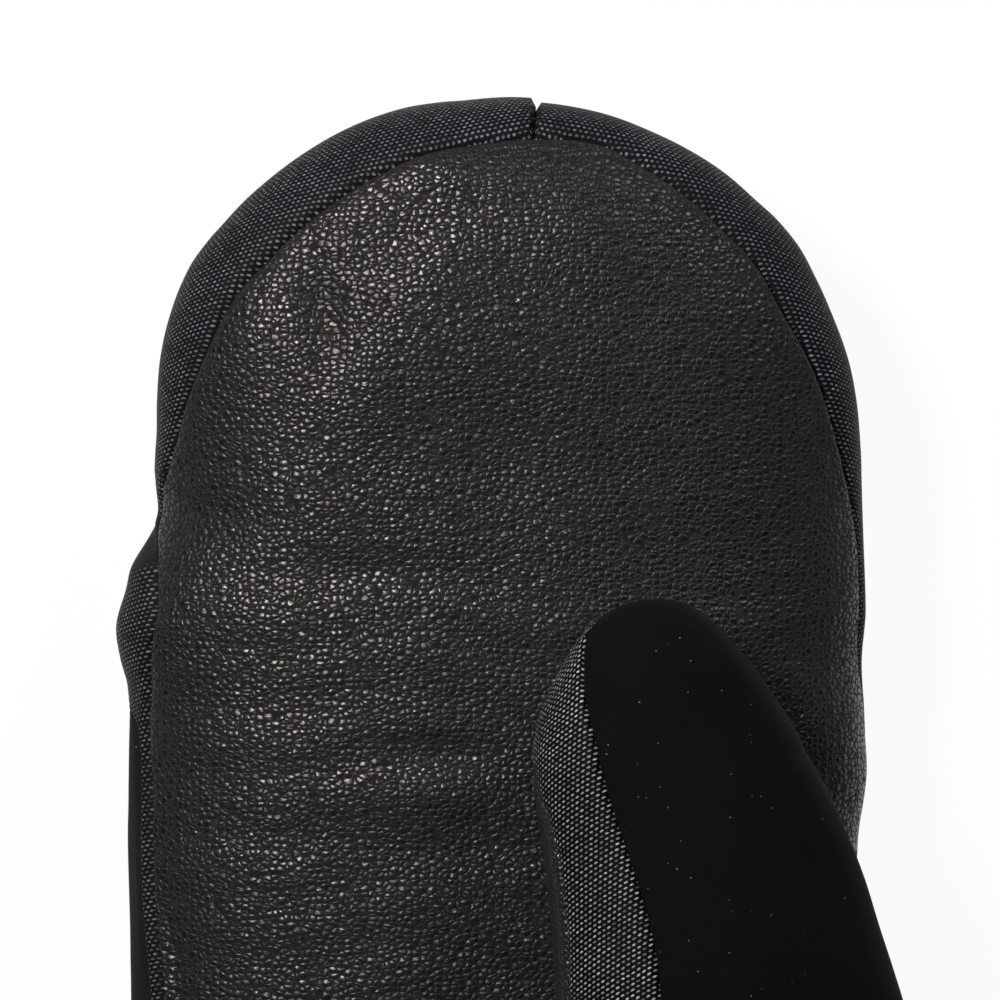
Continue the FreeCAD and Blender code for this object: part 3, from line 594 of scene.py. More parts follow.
TIP_CENTRE = (0.0, 58.0)
TIP_MEET = math.radians(85.9)
TIP_REACH = 61.6
LITTLE_TIP = [
    (-59.4, 58), (-59.2, 63), (-59.0, 69.7), (-58.4, 76.3), (-57.0, 83), (-54.7, 89.7), (-53.0, 93.0),
    (-50.3, 96.5), (-47.2, 99.8), (-44.0, 103.1), (-40.1, 106.5), (-30.1, 113.3), (-18.3, 118.2),
    (-11.7, 119.4), (-7, 119.6),
]
INDEX_TIP = [
    (58.8, 58), (58.5, 63), (57.8, 69.7), (56.5, 76.3), (54.2, 83), (51.3, 89.7), (47.5, 96.4), (44.6, 99.8),
    (41.1, 103.0), (35, 108.2), (25, 113.9), (15, 117.7),
]


HAND_LOW = [(-180, 1.6), (-104, 2.0), (-86, 2.0), (-58, -0.5), (31, -0.5), (46, 0.0), (58, 3.0)]
HAND_HIGH = [(-180, 52.0), (-104, 42.0), (-86, 42.0), (-58, 46.0), (58, 46.0)]
HAND_TIPS = {
    side: tip_table(points, TIP_CENTRE, TIP_MEET, TIP_REACH)
    for side, points in ((-1, LITTLE_TIP), (1, INDEX_TIP))
}
HAND = Form(
    TIP_CENTRE, TIP_MEET, {-1: little_edge, 1: index_edge}, HAND_TIPS,
    (HAND_LOW, HAND_HIGH), 2.6, 3.1, 4.5, 0.05,
)

THUMB_LITTLE_EDGE = [
    (-85, 15), (-62, 9.5), (-45, 8.3), (-30, 7.6), (-18.4, 6.8), (-9.5, 5.8), (-2.3, 4.8), (5.7, 3.9),
    (8, 3.8),
]
THUMB_INDEX_EDGE = [
    (-85, 45), (-62, 63), (-45, 68.2), (-30.3, 64.9), (-23.7, 62.8), (-17, 60.5), (-8.7, 57.9), (3, 53.3),
    (8, 50.7),
]
THUMB_CENTRE = (27.25, 8.0)
THUMB_MEET = math.radians(97.7)
THUMB_REACH = 28.96
THUMB_LITTLE_TIP = [(3.8, 8.0), (3.8, 10.5), (4.6, 16.3), (6.6, 21.5), (10, 28), (14.7, 33.6), (19, 36.1)]
THUMB_INDEX_TIP = [(50.7, 8.0), (48.3, 12.2), (44.2, 19.7), (38.3, 28), (32.2, 33.9), (28, 36.2)]


THUMB_LOW = [(-85, 13.0), (-45, 47.2), (-30, 47.2), (3, 49.2)]
THUMB_HIGH = [(-85, 37.0), (-45, 81.2), (-30, 81.2), (3, 79.2)]
THUMB_TIPS = {
    side: tip_table(points, THUMB_CENTRE, THUMB_MEET, THUMB_REACH)
    for side, points in ((-1, THUMB_LITTLE_TIP), (1, THUMB_INDEX_TIP))
}
THUMB = Form(
    THUMB_CENTRE, THUMB_MEET,
    {-1: lambda y: through(THUMB_LITTLE_EDGE, y), 1: lambda y: through(THUMB_INDEX_EDGE, y)}, THUMB_TIPS,
    (THUMB_LOW, THUMB_HIGH), 2.3, 2.3, 0.0, None,
)

# ------------ seams, as (row, degrees of turn)

TIP_Y = TIP_CENTRE[1]
HEM, WRIST_ROW, THUMB_ROOT, TIP_ROW = -238, -167, -93, 90  # rows where the panels begin and end
LEATHER_LITTLE = [
    (HEM, 9.3), (-162, 26), (-144, 27), (-116, 27), (-88, 27), (-72, 24.2), (-55, 22.2), (-42, 20.5),
    (-35, 23), (-25, 28), (-15, 20), (-8, 8.0), (-4, 10), (0, 17), (10, 25), (22.8, 32.8), (39.4, 37.0),
    (53.4, 37.5), (72.7, 35.5), (TIP_ROW, 31.4),
]
LEATHER_INDEX = [
    (HEM, -8.5), (-162, -1.2), (-144, -1.2), (-116, -2), (-60, -2), (-48, -2), (-38, 3), (-25, 10.8),
    (-15, 11.5), (-5, 16.5), (0, 20), (7.4, 24), (21, 29.5), (36.4, 33.5), (51.8, 33.3), (68, 31), (78, 28.5),
    (TIP_ROW, 31.4),
]
BACK_LITTLE = [
    (HEM, 0.0), (-162, 9.5), (-144, 11), (-116, 18), (-88, 22.4), (-72, 19.2), (-55, 17.0), (-47.5, 16.2),
    (-42.5, 13.5), (-40, 7), (-37, -6), (-30, -16), (-12, -16.3), (0, -23),
    (40, -21), (TIP_ROW, -20),
]
BACK_INDEX = [
    (HEM, -8.5), (-166, -8), (-144, -14), (-116, -16.3), (-12, -16.3), (0, -23), (40, -21), (TIP_ROW, -20),
]
THUMB_SEAM_TOP = [
    (THUMB_ROOT, 60), (-53, 68), (-38, 68.9), (-28.7, 69.7), (-19.7, 67.8), (-8.5, 63.9), (0, 61.2),
    (21.4, 56.6), (52, 30.6), (64.5, 6.0), (72, -8), (81, -15.0), (TIP_ROW, -16),
]
THUMB_SEAM_UNDER = [
    (THUMB_ROOT, 20), (-53, 21), (-38, 22), (-22, 26), (-13, 26.5), (-8.5, 24), (-3, 16), (2, 5), (9, -2),
    (27, -9), (54, -14), (81, -16), (TIP_ROW, -16),
]
THUMB_SEAM_OUTER = [(THUMB_ROOT, -16), (TIP_ROW, -16)]
ON_TOP, UNDERNEATH = [(-300, 90), (TIP_ROW, 90)], [(-300, -90), (TIP_ROW, -90)]

# ------------ meshes


def mesh_object(name, points, faces, uv, finish, plain=None, sharp=55.0):
    """A mesh in metres from points, faces and a map, with doubles merged and faces turned outwards."""
    mesh = bpy.data.meshes.new(name)
    mesh.vertices.add(len(points))
    mesh.vertices.foreach_set("co", (points * MM).astype(np.float32).ravel())
    mesh.loops.add(faces.size)
    mesh.loops.foreach_set("vertex_index", faces.ravel().astype(np.int32))
    mesh.polygons.add(len(faces))
    mesh.polygons.foreach_set("loop_start", np.arange(0, faces.size, 4, dtype=np.int32))
    mesh.update(calc_edges=True)
    if plain is not None:
        mesh.attributes.new("plain", "FLOAT", "POINT").data.foreach_set("value", plain.astype(np.float32))
    layer = mesh.uv_layers.new(name="fabric")
    layer.data.foreach_set("uv", (uv[faces.ravel()] * MM).astype(np.float32).ravel())
    work = bmesh.new()
    work.from_mesh(mesh)
    bmesh.ops.remove_doubles(work, verts=work.verts, dist=2e-6)
    bmesh.ops.dissolve_degenerate(work, edges=work.edges, dist=1e-7)
    bmesh.ops.recalc_face_normals(work, faces=work.faces)
    for face in work.faces:
        face.smooth = True
    work.to_mesh(mesh)
    work.free()
    mesh.set_sharp_from_angle(angle=math.radians(sharp))
    piece = bpy.data.objects.new(name, mesh)
    bpy.context.scene.collection.objects.link(piece)
    mesh.materials.append(finish)
    return piece


def grid_quads(number):
    """Faces of a grid of point numbers."""
    corners = [number[:-1, :-1], number[1:, :-1], number[1:, 1:], number[:-1, 1:]]
    return np.stack(corners, -1).reshape(-1, 4)


def shell(name, outer, inner, uv, walls, finish, plain=None):
    """Two grids of points joined along some of their borders into one closed skin."""
    rows, columns = outer.shape[:2]
    number = np.arange(rows * columns).reshape(rows, columns)
    borders = {"first": number[0], "last": number[-1], "low": number[:, 0], "high": number[:, -1]}
    parts = [grid_quads(number), grid_quads(number)[:, ::-1] + rows * columns]
    for label in walls:
        line = borders[label]
        back = line + rows * columns
        parts.append(np.stack([line[:-1], line[1:], back[1:], back[:-1]], -1))
    points = np.concatenate([outer.reshape(-1, 3), inner.reshape(-1, 3)])
    uv = np.concatenate([uv.reshape(-1, 2)] * 2)
    both = None if plain is None else np.concatenate([plain.ravel()] * 2)
    return mesh_object(name, points, np.concatenate(parts), uv, finish, both)


def run_lengths(points, axis):
    """Length run along one direction of a grid, from its first line."""
    steps = np.linalg.norm(np.diff(points, axis=axis), axis=-1)
    pad = [(0, 0), (0, 0)]
    pad[axis] = (1, 0)
    return np.pad(np.cumsum(steps, axis=axis), pad)


def edge_roll(distance, depth, width):
    """How far a turned-in edge drops: the whole depth at the edge, none a width away from it."""
    return depth * (1 - np.sqrt(np.clip(distance / width, 0, 1) * (2 - np.clip(distance / width, 0, 1))))


def spread_turns(start, end, count):
    """Turns from start to end; towards the middle line they close up so that points stay even."""
    share = np.linspace(0, 1, count)
    eased = np.where(np.abs(end) > 89.9, 1 - (1 - share) ** 1.3, share)
    eased = np.where(np.abs(start) > 89.9, share**1.3, eased)
    return start + (end - start) * eased


CLOTH = 0.9  # thickness of a panel
LEAST_DEPTH = 1.2  # how far a panel's back stays below the form's surface
FADE = 3.0  # width over which a panel's relief fades towards its seams
STOCKING_COLUMNS = 22  # points on each quarter of a closed layer
ALL_WALLS = ("first", "last", "low", "high")
OPEN_TIP_WALLS = ("first", "low", "high")


def panel(name, form, rows, halves, finish, rolls, relief=None, walls=OPEN_TIP_WALLS, plain=None,
          flat_turn=None):
    """A sewn panel: a strip of the form between two seams, its edges rolled in and its back parallel.

    halves are (side, start seam, end seam, count); rolls are (depth, width) at the first row, the last
    row, the low edge and the high edge. relief lifts the face by a height that depends on place. With
    flat_turn, the map is the panel pressed flat and turned by that many degrees.
    """
    degrees, sides = [], []
    for number, (side, start, end, count) in enumerate(halves):
        starts, ends = through(start, rows)[:, None], through(end, rows)[:, None]
        turns = spread_turns(starts, ends, count)[:, (1 if number else 0):]
        degrees.append(turns)
        sides.append(side)
    row = rows[:, None]

    def place(extra):
        pieces, used = [], 0
        for side, turns in zip(sides, degrees):
            more = extra[:, used : used + turns.shape[1]]
            used += turns.shape[1]
            pieces.append(form.at(side, row, np.radians(turns), (more, more, more)))
        return np.concatenate(pieces, axis=1)

    flat = place(np.zeros((len(rows), sum(t.shape[1] for t in degrees))))
    across, along = run_lengths(flat, 1), run_lengths(flat, 0)
    x, y, z = np.moveaxis(flat, -1, 0)
    drop = np.zeros_like(x)
    for distance, (depth, width) in zip((along, along[-1] - along, across, across[:, -1:] - across), rolls):
        if depth:
            drop = np.maximum(drop, edge_roll(distance, depth, width))
    if relief is not None:
        fade = smooth(np.minimum(across, across[:, -1:] - across) / FADE)
        drop = drop - relief(x, y, z) * fade
    outer, inner = place(drop), place(np.maximum(drop + CLOTH, LEAST_DEPTH))
    outline = np.median(along, axis=1)
    uv = np.stack([np.repeat(outline[:, None], x.shape[1], 1), across - across[:, -1:] / 2], -1)
    if flat_turn is not None:
        uv = turned(flat_map(flat), flat_turn)
    shade = None if plain is None else plain(x, y, z)
    return shell(name, outer, inner, uv, walls, finish, shade)


def stocking(name, form, rows, outside, inside, finish, walls=("first",), relief=None):
    """A closed layer right round the form, between two insets (side, palm, back)."""
    under, level, over = (np.full((len(rows), 1), turn) for turn in (-90.0, 0.0, 90.0))
    lower, upper = spread_turns(under, level, STOCKING_COLUMNS), spread_turns(level, over, STOCKING_COLUMNS)
    left = np.concatenate([lower, upper[:, 1:]], 1)
    grids = []
    for inset in (outside, inside):
        halves = []
        for side, turns in ((-1, left), (1, left[:, ::-1])):
            lift = 0.0
            if relief is not None:
                x, y, z = np.moveaxis(form.at(side, rows[:, None], np.radians(turns), inset), -1, 0)
                lift = relief(x, y, z)
            shifted = tuple(value - lift for value in inset)
            halves.append(form.at(side, rows[:, None], np.radians(turns), shifted))
        grids.append(np.concatenate([halves[0], halves[1][:, 1:]], axis=1))
    outer, inner = grids
    uv = np.stack([run_lengths(outer, 0), run_lengths(outer, 1)], -1)
    return shell(name, outer, inner, uv, walls, finish)


def turned(uv, degrees):
    """A map turned in its plane."""
    c, s = math.cos(math.radians(degrees)), math.sin(math.radians(degrees))
    return uv @ np.array([[c, s], [-s, c]])


def flat_map(points):
    """The panel pressed flat: each point straight out from its row's top seam, as far as the cloth runs."""
    seam = points[:, -1:, :2]
    offset = points[..., :2] - seam
    reach = np.linalg.norm(offset, axis=-1)
    far = np.take_along_axis(offset, reach.argmax(1)[:, None, None], 1)
    out = far / np.maximum(np.linalg.norm(far, axis=-1, keepdims=True), 1e-6)
    run = run_lengths(points, 1)
    return seam + out * (run[:, -1:] - run)[..., None]


def steps(low, high, step):
    """Even places from low to high, about a step apart."""
    return np.linspace(low, high, max(2, round((high - low) / step) + 1))


def graded(*runs):
    """Rows in runs of (low, high, step), each run beginning where the last one ends."""
    rows = [steps(*run) for run in runs]
    return np.concatenate([run[:-1] for run in rows[:-1]] + rows[-1:])


# ------------ skin of the hand and fingers


# height, centre, radii and turn in degrees of the worn palm's swellings and hollows
PALM_LUMPS = [
    (-1.15, (-31.0, 84.5), (3.6, 12.0), 12),
    (0.85, (-25.5, 71.5), (7.5, 8.0), 0),
    (0.55, (-43.0, 79.0), (5.0, 9.0), -15),
    (0.55, (-9.0, 107.0), (12.0, 4.0), -8),
    (-0.55, (-17.0, 97.0), (16.0, 4.5), 38),
    (0.6, (-34.0, 52.0), (11.0, 9.0), 0),
    (0.5, (-13.0, 3.5), (10.0, 3.6), 6),
    (-0.45, (-12.0, 11.0), (16.0, 3.0), 4),
    (-0.45, (-16.0, -5.0), (18.0, 3.2), -4),
    (-0.5, (-22.0, 41.0), (20.0, 3.4), -3),
    (0.4, (28.0, 102.0), (9.0, 4.0), -25),
]


def palm_relief(x, y, z):
    """Lumps of the worn palm and faint folds across it, in millimetres; low towards the wrist."""
    height = sum(lump * dimple(x, y, *shape) for lump, *shape in PALM_LUMPS)
    rows = np.sin(2 * math.pi * (y + 2.5 * np.sin(x / 14.0) + 1.6 * np.sin(x / 6.1 + 1.0)) / 10.5)
    height += 0.09 * rows * smooth((46 - y) / 14) * smooth((y + 60) / 20)
    height -= 1.8 * smooth((34 - y) / 92) * smooth((y + 109) / 7)
    return height + 0.22 * drift(x, y, z, 11, 24.0)


def slack(height, seed, length):
    """A relief of slow unevenness."""
    return lambda x, y, z: height * drift(x, y, z, seed, length)


index_relief, thumb_relief, lining_relief = slack(0.16, 6, 26.0), slack(0.22, 31, 30.0), slack(0.22, 23, 16.0)


def fold_mask(x, y, z):
    """Where the knuckle fabric turns away and its weave doesn't show."""
    return smooth((y - 38.4 - 0.25 * (z - 22)) / 1.6) * smooth((51.5 - y) / 1.5) * (x < 0)


def little_relief(x, y, z):
    """Fold and crease over the knuckle, and slack along the rim of the little-finger side."""
    height = -1.5 * dimple(y, z, (45.0, 31.0), (1.0, 7.0), 24) * (x < 0)
    height += 0.8 * dimple(y, z, (41.4, 28.0), (2.6, 9.0), 20) * (x < 0)
    height += 0.4 * smooth((x + 14) / 16) * smooth((y - 100) / 6)
    return height + 0.16 * drift(x, y, z, 5, 26.0)


def back_relief(x, y, z):
    """Broad, shallow waves over the back of the hand."""
    return (0.55 * drift(x, y, z, 8, 38.0) - 0.2) * smooth((np.abs(z) - 1.0) / 4)


BODY_ROWS = graded((WRIST_ROW, -60, 1.5), (-60, 0, 0.85), (0, TIP_ROW, 1.0))
SIDE_ROWS = graded((WRIST_ROW, -60, 1.5), (-60, 0, 0.8), (0, TIP_ROW, 0.8))
KNUCKLE_ROWS = graded((-38, 0, 1.0), (0, TIP_ROW, 1.2))
BACK_ROWS = steps(WRIST_ROW, -38, 1.3)
# the two bodies at each bending place, and where the bend begins and ends, in metres
AT_CREASE = ("hand", "fingers"), ((0, 0.036, 0.0235), (0, 0.056, 0.0235))
AT_WRIST = ("hand", "cuff"), ((0, -0.1095, 0.0235), (0, -0.137, 0.0235))
AT_THUMB = ("hand", "thumb"), ((0.04, -0.058, 0.064), (0.04, -0.034, 0.064))


def seat(piece, slot, bodies, span, *nodes):
    """Hides a piece's CAD nodes, then lets it ride on one body, or with a span bakes its place into its mesh.
    """
    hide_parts(*nodes)
    if span is None:
        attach(piece, bodies)
    else:
        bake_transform(piece)


palm = panel(
    "palm_leather_panel", HAND, BODY_ROWS,
    [(-1, LEATHER_LITTLE, ON_TOP, 60), (1, ON_TOP, LEATHER_INDEX, 60)],
    BLACK_LEATHER, [(0.8, 1.2), (0, 1), (1.15, 1.7), (1.15, 1.7)], palm_relief,
)
seat(palm, "leather", *AT_CREASE, "palm_leather", "finger_palm_leather")

little = panel(
    "little_sidewall_panel", HAND, SIDE_ROWS, [(-1, BACK_LITTLE, LEATHER_LITTLE, 34)],
    SIDE_NYLON, [(0.8, 1.2), (1.5, 0.8), (0.5, 1.0), (1.2, 2.6)], little_relief,
    walls=ALL_WALLS, plain=fold_mask, flat_turn=-12,
)
seat(little, "nylon_weave", *AT_CREASE, "hand_little_sidewall", "finger_little_sidewall")

index = panel(
    "index_sidewall_panel", HAND, SIDE_ROWS, [(1, BACK_INDEX, LEATHER_INDEX, 34)],
    SIDE_NYLON, [(0.8, 1.2), (1.5, 0.8), (1.0, 1.8), (1.7, 3.4)], index_relief,
    walls=ALL_WALLS, flat_turn=10,
)
seat(index, "nylon_weave", *AT_CREASE, "hand_index_sidewall", "finger_index_sidewall")

knuckle = panel(
    "knuckle_nylon_panel", HAND, KNUCKLE_ROWS,
    [(-1, BACK_LITTLE, UNDERNEATH, 44), (1, UNDERNEATH, BACK_INDEX, 44)],
    SIDE_NYLON, [(0.45, 1.2), (0, 1), (0.6, 1.2), (1.0, 1.8)], back_relief,
)
seat(knuckle, "nylon_weave", *AT_CREASE, "knuckle_nylon", "finger_back_nylon")

back = panel(
    "back_softshell_panel", HAND, BACK_ROWS,
    [(-1, BACK_LITTLE, UNDERNEATH, 50), (1, UNDERNEATH, BACK_INDEX, 50)],
    BACK_SOFTSHELL, [(0.8, 1.2), (0.45, 1.2), (0.5, 1.0), (1.0, 1.8)], back_relief,
    walls=ALL_WALLS,
)
seat(back, "softshell", "hand", None, "back_softshell")

# ------------ padding, membrane and lining

LAYER_ROWS = graded((WRIST_ROW, -30, 3.0), (-30, 0, 1.2), (0, TIP_ROW, 2.0))
# outer and inner face of each layer, as insets (side, palm, back) from the form
PAD = (2.5, 2.5, 2.5), (5.9, 4.6, 7.9)
MEMBRANE = (5.95, 4.65, 7.95), (6.4, 5.1, 8.4)
LINING = (6.45, 5.15, 8.45), (8.0, 6.7, 10.0)


def even(outside, inside):
    """A layer's two faces, each at one inset all round."""
    return (outside,) * 3, (inside,) * 3


def layer(name, form, rows, insets, finish, slot, bend, nodes, fill=None, **more):
    """A closed layer, riding on its body or fixed where it is, with its CAD nodes hidden; fill is not used.
    """
    piece = stocking(name, form, rows, *insets, finish, **more)
    seat(piece, slot, *bend, *nodes)


BODY = HAND, LAYER_ROWS
layer("body_padding", *BODY, PAD, PADDING, "wadding", AT_CREASE, ["hand_wadding", "finger_wadding"], 0.6)
layer("body_membrane", *BODY, MEMBRANE, FILM, "membrane", AT_CREASE, ["hand_membrane", "finger_membrane"])
layer("body_lining", *BODY, LINING, TRICOT, "lining", AT_CREASE, ["hand_lining", "finger_lining"])

# ------------ thumb


def thumb_nylon_relief(x, y, z):
    """Soft swelling of the thumb's woven side."""
    return 0.35 * dimple(x, y, (11.0, -6.0), (6.0, 16.0), 8) + 0.2 * drift(x, y, z, 32, 22.0)


THUMB_ROWS = graded((THUMB_ROOT, -40, 1.4), (-40, 0, 0.8), (0, TIP_ROW, 1.0))
THUMB_NYLON_ROWS = graded((THUMB_ROOT, -40, 1.4), (-40, 0, 0.7), (0, 79.5, 0.8))

thumb_top = panel(
    "thumb_softshell_panel", THUMB, THUMB_ROWS,
    [(-1, THUMB_SEAM_TOP, ON_TOP, 44), (1, ON_TOP, THUMB_SEAM_OUTER, 56)],
    THUMB_SOFTSHELL, [(0, 1), (0, 1), (0.75, 1.3), (0.9, 1.8)], thumb_relief,
)
seat(thumb_top, "softshell", *AT_THUMB, "thumb_root_softshell", "thumb_softshell")
thumb_side = panel(
    "thumb_nylon_panel", THUMB, THUMB_NYLON_ROWS, [(-1, THUMB_SEAM_UNDER, THUMB_SEAM_TOP, 30)],
    THUMB_NYLON, [(0, 1), (0, 1), (0.7, 1.6), (0.9, 2.2)], thumb_nylon_relief,
    walls=ALL_WALLS, flat_turn=-32,
)
seat(thumb_side, "nylon_weave", *AT_THUMB, "thumb_nylon")
thumb_under = panel(
    "thumb_leather_panel", THUMB, THUMB_ROWS,
    [(-1, THUMB_SEAM_UNDER, UNDERNEATH, 36), (1, UNDERNEATH, THUMB_SEAM_OUTER, 36)],
    BLACK_LEATHER, [(0, 1), (0, 1), (0.8, 1.4), (0.9, 1.8)], thumb_relief,
)
seat(thumb_under, "leather", *AT_THUMB, "thumb_leather")

THUMB_LAYER_ROWS = graded((THUMB_ROOT, -30, 2.2), (-30, TIP_ROW, 2.4))
IN_THUMB = THUMB, THUMB_LAYER_ROWS
layer("thumb_padding", *IN_THUMB, even(2.2, 4.3), PADDING, "wadding", AT_THUMB, ["thumb_wadding"], 0.6)
layer("thumb_film", *IN_THUMB, even(4.4, 4.85), FILM, "membrane", AT_THUMB, ["thumb_membrane"])
layer("thumb_tricot", *IN_THUMB, even(4.9, 6.45), TRICOT, "lining", AT_THUMB, ["thumb_lining"])

# ------------ cuff

CUFF_ROWS = steps(HEM, -167.02, 1.4)


def cuff_relief(x, y, z):
    """Gentle gathers below the wrist that die out towards the hem."""
    turn = np.arctan2(z - 24, x)
    return (0.5 * np.sin(turn * 15 + y / 9) + 0.5 * drift(x, y, z, 41, 20.0)) * smooth((y + 176) / 40) * 0.6


cuff_palm = panel(
    "cuff_palm_panel", HAND, CUFF_ROWS,
    [(-1, LEATHER_LITTLE, ON_TOP, 46), (1, ON_TOP, LEATHER_INDEX, 46)],
    SIDE_NYLON, [(0, 1), (0.8, 1.2), (0.8, 1.5), (0.8, 1.5)], cuff_relief,
    walls=ALL_WALLS,
)
seat(cuff_palm, "nylon_weave", *AT_WRIST, "cuff_palm_nylon")
cuff_back = panel(
    "cuff_back_panel", HAND, CUFF_ROWS,
    [(-1, LEATHER_LITTLE, UNDERNEATH, 46), (1, UNDERNEATH, LEATHER_INDEX, 46)],
    BACK_SOFTSHELL, [(0, 1), (0.8, 1.2), (0.8, 1.5), (0.8, 1.5)], cuff_relief,
    walls=ALL_WALLS,
)
seat(cuff_back, "softshell", *AT_WRIST, "cuff_back_softshell")
CUFF, ENDS = (HAND, steps(HEM, -167.2, 2.0)), ("first", "last")
layer(
    "cuff_padding", *CUFF, even(2.4, 4.3), PADDING, "wadding", AT_WRIST, ["cuff_wadding"], 0.4, walls=ENDS,
)
layer(
    "cuff_lining_tube", *CUFF, even(4.5, 5.9), TRICOT, "lining", AT_WRIST, ["cuff_lining"], walls=ENDS,
    relief=lining_relief,
)


def hoop(name, profile, finish, count=200):
    """A closed profile of (y, inset) points carried right round the hand's form."""
    y, inset = np.array([*profile, profile[0]], float).T
    angle = np.linspace(0, 2 * math.pi, count + 1)[:, None]
    turn = np.arcsin(np.sin(angle))
    sides = [HAND.at(side, y[None] - TIP_Y, turn, (inset[None],) * 3) for side in (-1, 1)]
    grid = np.where((np.cos(angle) >= 0)[..., None], sides[1], sides[0])
    number = np.arange(grid.shape[0] * grid.shape[1]).reshape(grid.shape[:2])
    uv = np.stack([run_lengths(grid, 0), run_lengths(grid, 1)], -1).reshape(-1, 2)
    return mesh_object(name, grid.reshape(-1, 3), grid_quads(number), uv, finish)


def fold_profile(low, high, outside, inside, thick):
    """Tape folded over an edge: down the outside, round the edge and up the inside, then back within."""
    half = (inside - outside) / 2
    middle = (inside + outside) / 2
    turn = np.linspace(0, math.pi, 13)
    outer = [(high, outside), (high - 1.0, outside - 0.05)]
    outer += [(low + half - half * math.sin(a), middle - half * math.cos(a)) for a in turn]
    outer += [(high - 1.0, inside + 0.05), (high, inside)]
    small = half - thick
    inner = [(high, inside - thick)]
    inner += [(low + half - small * math.sin(a), middle + small * math.cos(a)) for a in turn]
    inner += [(high, outside + thick)]
    return outer + inner


binding = hoop("hem_binding_tape", fold_profile(-181.4, -168.0, -1.4, 7.4, 1.15), BINDING_TAPE)
seat(binding, "binding", "cuff", None, "hem_binding")

# ------------ webbing, tapes and loops

STRAP_WIDTH, TAPE_WIDTH, BAND_WIDTH = (-104.0, -86.0), (-103.0, -87.0), (-101.0, -89.0)
WRIST_SECTION = (53.0, 22.0, 20.0, 2.6)


def wrist_line(x, outset, side=1):
    """Points over the wrist at an outset: the cross-section's superellipse, palm side or back."""
    half_width, middle, half, n = WRIST_SECTION
    share = np.clip(np.abs(x) / (half_width + outset), 0, 1)
    z = middle + side * (half + outset) * (1 - share**n) ** (1 / n)
    return np.stack([x, z], -1)


END_ROUND, END_SHARE = 0.6, 0.25  # length of a tape's rounded end, and its thickness there
SELVEDGE_DROP, SELVEDGE_POWER = 0.55, 7  # how much thinner a tape's long edges are, and how suddenly


def ribbon(name, path, across, thick, finish, axis=1, columns=15):
    """Tape along a flat path, given width along the third axis; thinner selvedges and rounded ends."""
    tangent = np.gradient(path, axis=0)
    tangent /= np.linalg.norm(tangent, axis=1, keepdims=True)
    normal = np.stack([-tangent[:, 1], tangent[:, 0]], -1)
    share = np.linspace(-1, 1, columns)
    reach = np.concatenate([[0], np.cumsum(np.linalg.norm(np.diff(path, axis=0), axis=1))])
    end = np.minimum(reach, reach[-1] - reach)
    near = np.clip(end / END_ROUND, 0, 1)
    body = np.sqrt(near * (2 - near)) * (1 - END_SHARE) + END_SHARE
    half = thick / 2 * body[:, None] * (1 - SELVEDGE_DROP * np.abs(share) ** SELVEDGE_POWER)[None]
    low, high = across
    side_axis = np.broadcast_to((low + high) / 2 + (high - low) / 2 * share, half.shape)
    grids = []
    for sign in (1, -1):
        p = path[:, None, :] + sign * normal[:, None, :] * half[..., None]
        order = (p[..., 0], side_axis, p[..., 1]) if axis == 1 else (side_axis, p[..., 0], p[..., 1])
        grids.append(np.stack(order, -1))
    uv = np.stack(np.broadcast_arrays(reach[:, None], side_axis), -1)
    return shell(name, grids[0], grids[1], uv, ALL_WALLS, finish)


def tape(name, path, across, thick, finish, slot, body, node, axis=1):
    """A ribbon that rides on one body, with its CAD node hidden."""
    seat(ribbon(name, path, across, thick, finish, axis), slot, body, None, node)


RING_X, RING_SPAN, BAR_HOLE, RUN_STEP = -30.0, 9.0, 1.5, 0.8
THICK, TAPE_THICK, KEEPER_THICK = 1.4, 0.8, 1.2
LEVEL_STRAP, LEVEL_LOOP, LEVEL_HOOK, LEVEL_RETURN, LEVEL_TAB = 1.0, 2.1, 3.2, 4.3, 5.9


def level_run(low_x, high_x, outset):
    return wrist_line(steps(low_x, high_x, RUN_STEP), outset)


def around_bar(centre, radius, start, end):
    """An arc about a bar, in degrees from +X towards +Z."""
    turn = np.radians(np.linspace(start, end, 25))
    return np.stack([centre[0] + radius * np.cos(turn), centre[1] + radius * np.sin(turn)], -1)


strap_path = level_run(-26.6, 45.0, LEVEL_STRAP)
tape("wrist_strap_webbing", strap_path, STRAP_WIDTH, THICK, WEBBING, "webbing", "hand", "wrist_strap")
loop_path, hook_path = level_run(-22.0, 30.0, LEVEL_LOOP), level_run(0.0, 26.0, LEVEL_HOOK)
tape(
    "loop_tape_pile", loop_path, TAPE_WIDTH, TAPE_THICK, TOUCH_TAPE, "touch_tape", "hand", "strap_loop_tape"
)
tape(
    "hook_tape_pile", hook_path, TAPE_WIDTH, TAPE_THICK, TOUCH_TAPE, "touch_tape",
    "strap_end", "strap_hook_tape",
)
BAR_MIDDLE = wrist_line(np.array([RING_X]), 0.3 + BAR_HOLE + THICK)[0]
turn_back = around_bar(BAR_MIDDLE, BAR_HOLE + THICK / 2, 262, 98)
run = level_run(BAR_MIDDLE[0] + 2.2, 26.0, LEVEL_RETURN)
end_path = np.concatenate([turn_back, run])
tape("strap_end_webbing", end_path, STRAP_WIDTH, THICK, WEBBING, "webbing", "strap_end", "strap_end")
tab_path = level_run(16.0, 36.0, LEVEL_TAB)
tape(
    "strap_pull_tab_grip", tab_path, BAND_WIDTH, 1.8, TAB_RUBBER, "pull_tab", "strap_end", "strap_pull_tab"
)
KEEPER_MIDDLE = wrist_line(np.array([RING_X - RING_SPAN]), 0.3 + BAR_HOLE + KEEPER_THICK)[0]
keeper_turn = around_bar(KEEPER_MIDDLE, BAR_HOLE + KEEPER_THICK / 2, 60, -95)
keeper_run = level_run(RING_X - RING_SPAN - 12.6, RING_X - RING_SPAN - 1.2, 0.9)[::-1]
keeper_path = np.concatenate([keeper_turn, keeper_run])
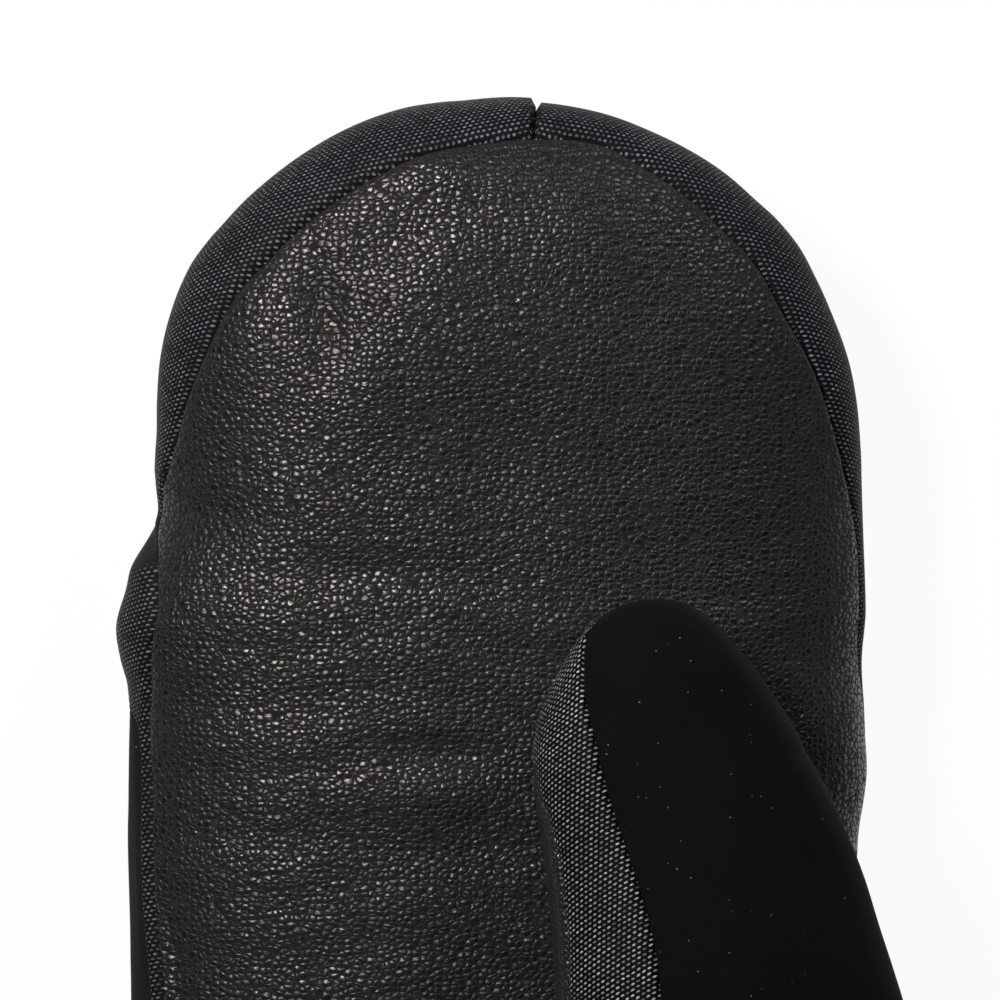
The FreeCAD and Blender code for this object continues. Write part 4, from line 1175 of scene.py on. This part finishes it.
tape(
    "ring_keeper_webbing", keeper_path, STRAP_WIDTH, KEEPER_THICK, WEBBING, "webbing", "hand", "ring_keeper"
)
elastic_path = wrist_line(steps(-36, 36, RUN_STEP), -2.1, -1)
tape("wrist_elastic_band", elastic_path, BAND_WIDTH, 0.9, ELASTIC, "elastic", "hand", "wrist_elastic")

PULL_CENTRE = (-185.9, 4.6)


def pull_path():
    """The pull loop's middle line: two straights and two half turns, in y and z."""
    radius, span = 3.6, 25.6
    y0, z0 = PULL_CENTRE
    near = np.radians(np.linspace(-90, 90, 25))
    far = np.radians(np.linspace(90, 270, 25))
    straight = np.linspace(0, 1, 14)[1:-1, None]
    top = np.array([y0, z0 + radius]) + straight * np.array([-span, 0])
    low = np.array([y0 - span, z0 - radius]) + straight * np.array([span, 0])
    return np.concatenate([
        np.stack([y0 + radius * np.cos(near), z0 + radius * np.sin(near)], -1), top,
        np.stack([y0 - span + radius * np.cos(far), z0 + radius * np.sin(far)], -1), low,
        [[y0, z0 - radius + 0.02]],
    ])


tape(
    "pull_loop_webbing", pull_path(), (-18.0, -6.0), 1.15, WEBBING, "binding", "pull_loop", "pull_loop", 0
)

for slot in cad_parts["slot_ring"].material_slots:
    slot.material = WIRE

# ------------ floor and world


def make_floor():
    """A plain white floor just under the mitten, which keeps part of the shadow."""
    bpy.ops.mesh.primitive_plane_add(size=FLOOR_SIZE, location=(0, 0, 0))
    floor = bpy.context.object
    floor.name = "studio_floor"
    floor.data.transform(Matrix.Translation((0, 0, cad_low.z - FLOOR_DROP)))
    material = bpy.data.materials.new("white_floor")
    w = new_wiring(material)
    diffuse = w.add("BsdfDiffuse", {"Color": FLOOR_GREY})
    glow = w.add("Emission", {"Color": (*WHITE, 1), "Strength": 1.0})
    path = w.add("LightPath")
    seen = w.math("MAXIMUM", path.outputs["Is Camera Ray"], path.outputs["Is Glossy Ray"])
    seen = w.math("MAXIMUM", seen, path.outputs["Is Transmission Ray"])
    share = w.times(seen, FLOOR_GLOW)
    mixed = w.add("MixShader", {0: share, 1: diffuse.outputs[0], 2: glow.outputs[0]})
    output = w.add("OutputMaterial")
    w.feed(output, Surface=mixed.outputs[0])
    floor.data.materials.append(material)


def make_world():
    """Even pale surroundings."""
    world = bpy.data.worlds.new("studio")
    bpy.context.scene.world = world
    w = new_wiring(world)
    dim = w.add("Background", {"Color": (*WHITE, 1), "Strength": WORLD_LIGHT})
    white = w.add("Background", {"Color": (*WHITE, 1), "Strength": 1.0})
    path = w.add("LightPath")
    seen = path.outputs["Is Camera Ray"]
    mixed = w.add("MixShader", {0: seen, 1: dim.outputs[0], 2: white.outputs[0]})
    output = w.add("OutputWorld")
    w.feed(output, Surface=mixed.outputs[0])


make_floor()
make_world()
bpy.context.scene.view_settings.view_transform = "Standard"
